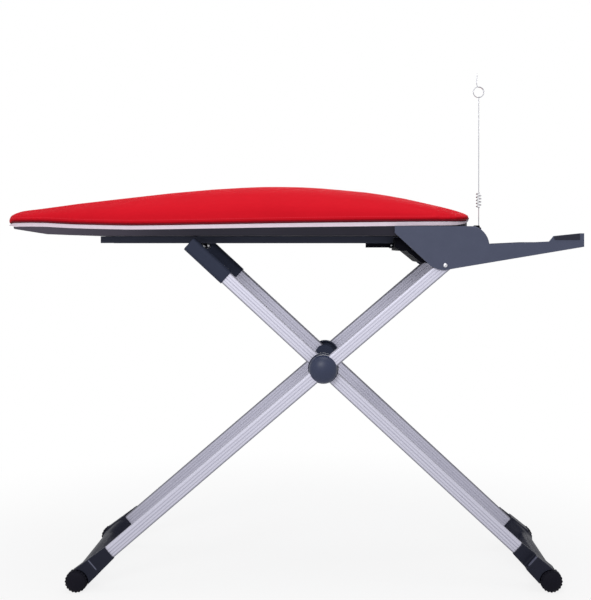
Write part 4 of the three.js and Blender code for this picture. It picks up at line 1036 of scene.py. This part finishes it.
def cap_form(node):
    """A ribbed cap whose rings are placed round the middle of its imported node."""
    form = bmesh.new()
    bmesh.ops.create_circle(form, radius=1, segments=CAP_RIBS * STEPS_A_RIB)
    angles = {v.index: math.atan2(v.co.y, v.co.x) for v in form.verts}
    ring = list(form.verts)
    for step, (radius, depth, place) in enumerate(CAP_RINGS):
        if step:
            edges = [e for e in form.edges if e.is_boundary or not e.link_faces]
            edges = [e for e in edges if all(v in ring for v in e.verts)]
            grown = bmesh.ops.extrude_edge_only(form, edges=edges)
            ring = [v for v in grown["geom"] if isinstance(v, bmesh.types.BMVert)]
        turns = [math.atan2(v.co.z, v.co.x) if step else angles[v.index] for v in ring]
        for vertex, turn in zip(ring, turns):
            reach = ribbed_radius(turn, radius, depth)
            vertex.co = (reach * math.cos(turn), place * MM, reach * math.sin(turn))
    bmesh.ops.holes_fill(form, edges=form.edges)
    bmesh.ops.recalc_face_normals(form, faces=form.faces)
    bmesh.ops.translate(form, verts=form.verts, vec=cap_middle(node))
    return form


for end in ("left", "right"):
    for side in ("near", "far"):
        node = f"{end}_foot_cap_{side}"
        form = to_side(cap_form(node), side)
        dressed(f"{node}_ribbed", form, slot_of_node[node], body_of_node[node], [node], smooth_below=50)
print("four caps of", CAP_RIBS, "ribs")

# %% [markdown]
# The pivot bolt has a chrome dome. The cord mast is a springy wire: a straight foot, five curls, a
# long mast and a ring with its tip turned up. A curve through the points of that path, with a round
# bevel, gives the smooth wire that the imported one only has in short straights.

# %% Pivot bolts
BOLT_DOME = (5.6, 3.4)
BOLT_SHANK = 5
BOLT_OUT = -202.6
BOLT_COLLAR = (7, -173.4, -177)

for side in ("near", "far"):
    node = f"pivot_bolt_{side}"
    head = arc((0, BOLT_OUT), (BOLT_DOME[0], -BOLT_DOME[1]), 0, 90, 8)
    head[-1][0] = 0
    wide, back, front = BOLT_COLLAR
    collar = [[0, back], [wide - 0.4, back], [wide, back - 0.4], [wide, front + 0.3], [BOLT_SHANK, front]]
    profile = [*collar, [BOLT_SHANK, BOLT_OUT + 0.3], *head]
    form = to_side(turned(profile, 32), side)
    bmesh.ops.translate(form, verts=form.verts, vec=(pivot.x, 0, pivot.z))
    dressed(f"{node}_domed", form, slot_of_node[node], body_of_node[node], [node], smooth_below=35)
print("bolts at", [round(v, 4) for v in pivot])

# %% Cord mast
WIRE_RADIUS = 1.1 * MM
MAST_FOOT = 0.872
CURL_START = 0.932
CURL_RISE = 0.038
CURL_RADIUS = 0.006
CURLS = 5
MAST_MIDDLES = (1.04, 1.12)
RING_HEIGHT = 1.218
RING_RADIUS = 0.013
RING_TURNS = 1.5
RING_SET_OVER = 0.004
MAST_TOP = 1.264


def mast_path():
    """Points of the mast from its foot to its tip, round its own upright line."""
    bend = CURL_RADIUS / 2
    path = [(0, 0, MAST_FOOT), (0, 0, (MAST_FOOT + CURL_START) / 2), (0, 0, CURL_START - bend)]
    steps = CURLS * 16
    for k in range(steps + 1):
        turn = FULL_TURN * k / 16
        open_ = CURL_RADIUS * min(1, k / 4, (steps - k) / 4)
        path.append((open_ * math.cos(turn), open_ * math.sin(turn), CURL_START + CURL_RISE * k / steps))
    path.append((0, 0, CURL_START + CURL_RISE + bend))
    path += [(0, 0, z) for z in (*MAST_MIDDLES, RING_HEIGHT - RING_RADIUS - bend)]
    for k in range(int(24 * RING_TURNS) + 1):
        turn = FULL_TURN * k / 24 - math.pi / 2
        over = RING_SET_OVER * k / 24
        path.append((RING_RADIUS * math.cos(turn), over, RING_HEIGHT + RING_RADIUS * math.sin(turn)))
    over = RING_SET_OVER * RING_TURNS
    path.append((-bend, over, RING_HEIGHT + RING_RADIUS + bend))
    path.append((-bend, over, MAST_TOP))
    return path


mast_low, mast_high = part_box("cord_holder_wire")
mast_place = Vector(((mast_low.x + mast_high.x) / 2, (mast_low.y + mast_high.y) / 2, 0))
mast = wire_mesh("mast", [Vector(p) + mast_place for p in mast_path()], WIRE_RADIUS, sides=8)
dressed("cord_mast", mast, "chrome_wire", body_of_node["cord_holder_wire"], ["cord_holder_wire"])
print("mast at", [round(v, 4) for v in mast_place])

# %% [markdown]
# Sheet and moulded pieces with plain shapes: cheeks, tray, rear cover, rail, housing and so on.
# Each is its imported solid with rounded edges, wider where the real moulding is rounder. The upper
# shoulder of each cheek has a much rounder outer edge, which is bevelled first.

# %% Plates, housings and fittings
SHOULDER_ROUND = 5.2 * MM
SHOULDER_BACK = (pivot.x + 0.02, pivot.x + 0.125)
CHEEK_OUT = 0.2015
ARM_TOP = 0.838
AIR_WAY = Vector((0.378, 0, 0.863))


def on_shoulder(edge):
    """True for the outer edges of a cheek from its flat top down to the arm."""
    first, second = [v.co for v in edge.verts]
    outside = min(abs(first.y), abs(second.y)) > CHEEK_OUT
    middle = (first + second) / 2
    return outside and middle.z > ARM_TOP and SHOULDER_BACK[0] < middle.x < SHOULDER_BACK[1]


for side in ("near", "far"):
    node = f"side_cheek_{side}"
    form = round_edges(merged_copy(node), SHOULDER_ROUND, 5, 20, on_shoulder, clamp=False)
    round_edges(form, 1.2 * MM, 2, 45)
    dressed(f"{node}_moulded", form, "slate_plastic", "board", [node])


def under_pan(edge):
    """True where the pan's underside meets its outer wall, but not at its air way."""
    under, wall = sorted(edge.link_faces, key=lambda face: face.normal.z)
    middle = (edge.verts[0].co + edge.verts[1].co) / 2
    flat_below = under.normal.z < -0.8 and wall.normal.z > -0.8
    return flat_below and wall.normal.dot(middle - AIR_WAY) > 0


pan_form = round_edges(merged_copy("suction_pan"), 3 * MM, 4, 28, under_pan)
dressed("suction_pan_pressed", pan_form, "pan_paint", "board", ["suction_pan"])

pad_form = round_edges(merged_copy("arm_pad"), 0.7 * MM)
dressed("arm_pad_moulded", pad_form, "rubber", "board", ["arm_pad"], pad_rubber)

EDGE_ROUNDS = {
    "iron_rest_tray": 0.9, "rear_cover": 0.9, "fan_housing": 0.9, "housing_lid": 0.6,
    "slide_rail": 0.7, "release_lever": 1.8, "slide_block": 0.8, "mains_inlet": 0.5,
    "switch_frame": 0.35, "power_rocker": 0.6, "lead_socket": 0.5, "cord_holder_base": 0.5,
    "hub_pin_near": 0.5, "hub_pin_far": 0.5,
}
for node, radius in EDGE_ROUNDS.items():
    softened(node, radius * MM)
print(len(EDGE_ROUNDS), "rounded pieces")

# %% [markdown]
# Small fasteners and contacts. A screw is a turned head whose cross is cut by two thin boxes, and
# its copies are joined in one mesh. The inlet has three flat pins.

# %% Screws and inlet pins
SCREW_HEAD = 3.6
SCREW_CROSS = (2.3 * MM, 0.45 * MM)
CROSS_DEPTHS = (-2.6 * MM, -1.0 * MM)
PAN_SCREWS = (0.094, 0.8627)
PAN_SCREW_SHARES = (0.06, 0.34, 0.62, 0.9)
HOUSING_SCREWS = (0.124, 0.796)
HOUSING_SCREW_BACK = (0.085, 0.014)
INLET_PIN = (0.008, 0.002, 0.004)
INLET_PINS = ((-0.005, -0.002), (0.005, -0.002), (0, 0.004))
INLET_PIN_BACK = 0.007


def screw_form():
    """A screw head that looks along -Y from the origin."""
    head = arc((0, -0.6), (SCREW_HEAD, -1.3), 0, 90, 6)
    head[-1][0] = 0
    form = turned([[0, 0.4], [SCREW_HEAD, 0.4], *head], 24)
    deep, shallow = CROSS_DEPTHS
    cross = [
        box_form((-wide, deep, -high), (wide, shallow, high))
        for wide, high in (SCREW_CROSS, SCREW_CROSS[::-1])
    ]
    return boolean(form, "DIFFERENCE", cross)


rail_low, rail_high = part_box("slide_rail")
_, housing_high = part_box("fan_housing")
pan_rows = [rail_low.x + share * (rail_high.x - rail_low.x) for share in PAN_SCREW_SHARES]
housing_rows = [housing_high.x - back for back in HOUSING_SCREW_BACK]
screw_places = [
    (x, side * out, height)
    for rows, (out, height) in ((pan_rows, PAN_SCREWS), (housing_rows, HOUSING_SCREWS))
    for x in rows for side in (-1, 1)
]
screws = bmesh.new()
one = bpy.data.meshes.new("one_screw")
screw_form().to_mesh(one)
for place in screw_places:
    first = len(screws.verts)
    screws.from_mesh(one)
    screws.verts.ensure_lookup_table()
    turn = Matrix.Translation(place) @ Matrix.Rotation(math.radians(90), 4, "X")
    bmesh.ops.transform(screws, matrix=turn, verts=screws.verts[first:])
dressed("underside_screws", screws, "zinc_steel", "board", (), FINISHES["rail_paint"], 35)

inlet_low, inlet_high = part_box("mains_inlet")
inlet_middle = (inlet_low + inlet_high) / 2
pins = bmesh.new()
for across, up in INLET_PINS:
    grown = bmesh.ops.create_cube(pins, size=1)["verts"]
    bmesh.ops.scale(pins, verts=grown, vec=INLET_PIN)
    place = Vector((inlet_high.x - INLET_PIN_BACK, inlet_middle.y + across, inlet_middle.z + up))
    bmesh.ops.translate(pins, verts=grown, vec=place)
dressed("inlet_pins", round_edges(pins, 0.4 * MM), "zinc_steel", "board")
print(len(screw_places), "screws and three pins")

# %% [markdown]
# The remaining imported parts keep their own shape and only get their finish.

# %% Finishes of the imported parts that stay
for node, shown in nodes.items():
    shown.data.materials.clear()
    shown.data.materials.append(FINISHES.get(slot_of_node[node], FINISHES["zinc_steel"]))
print("finished", len(nodes), "nodes")
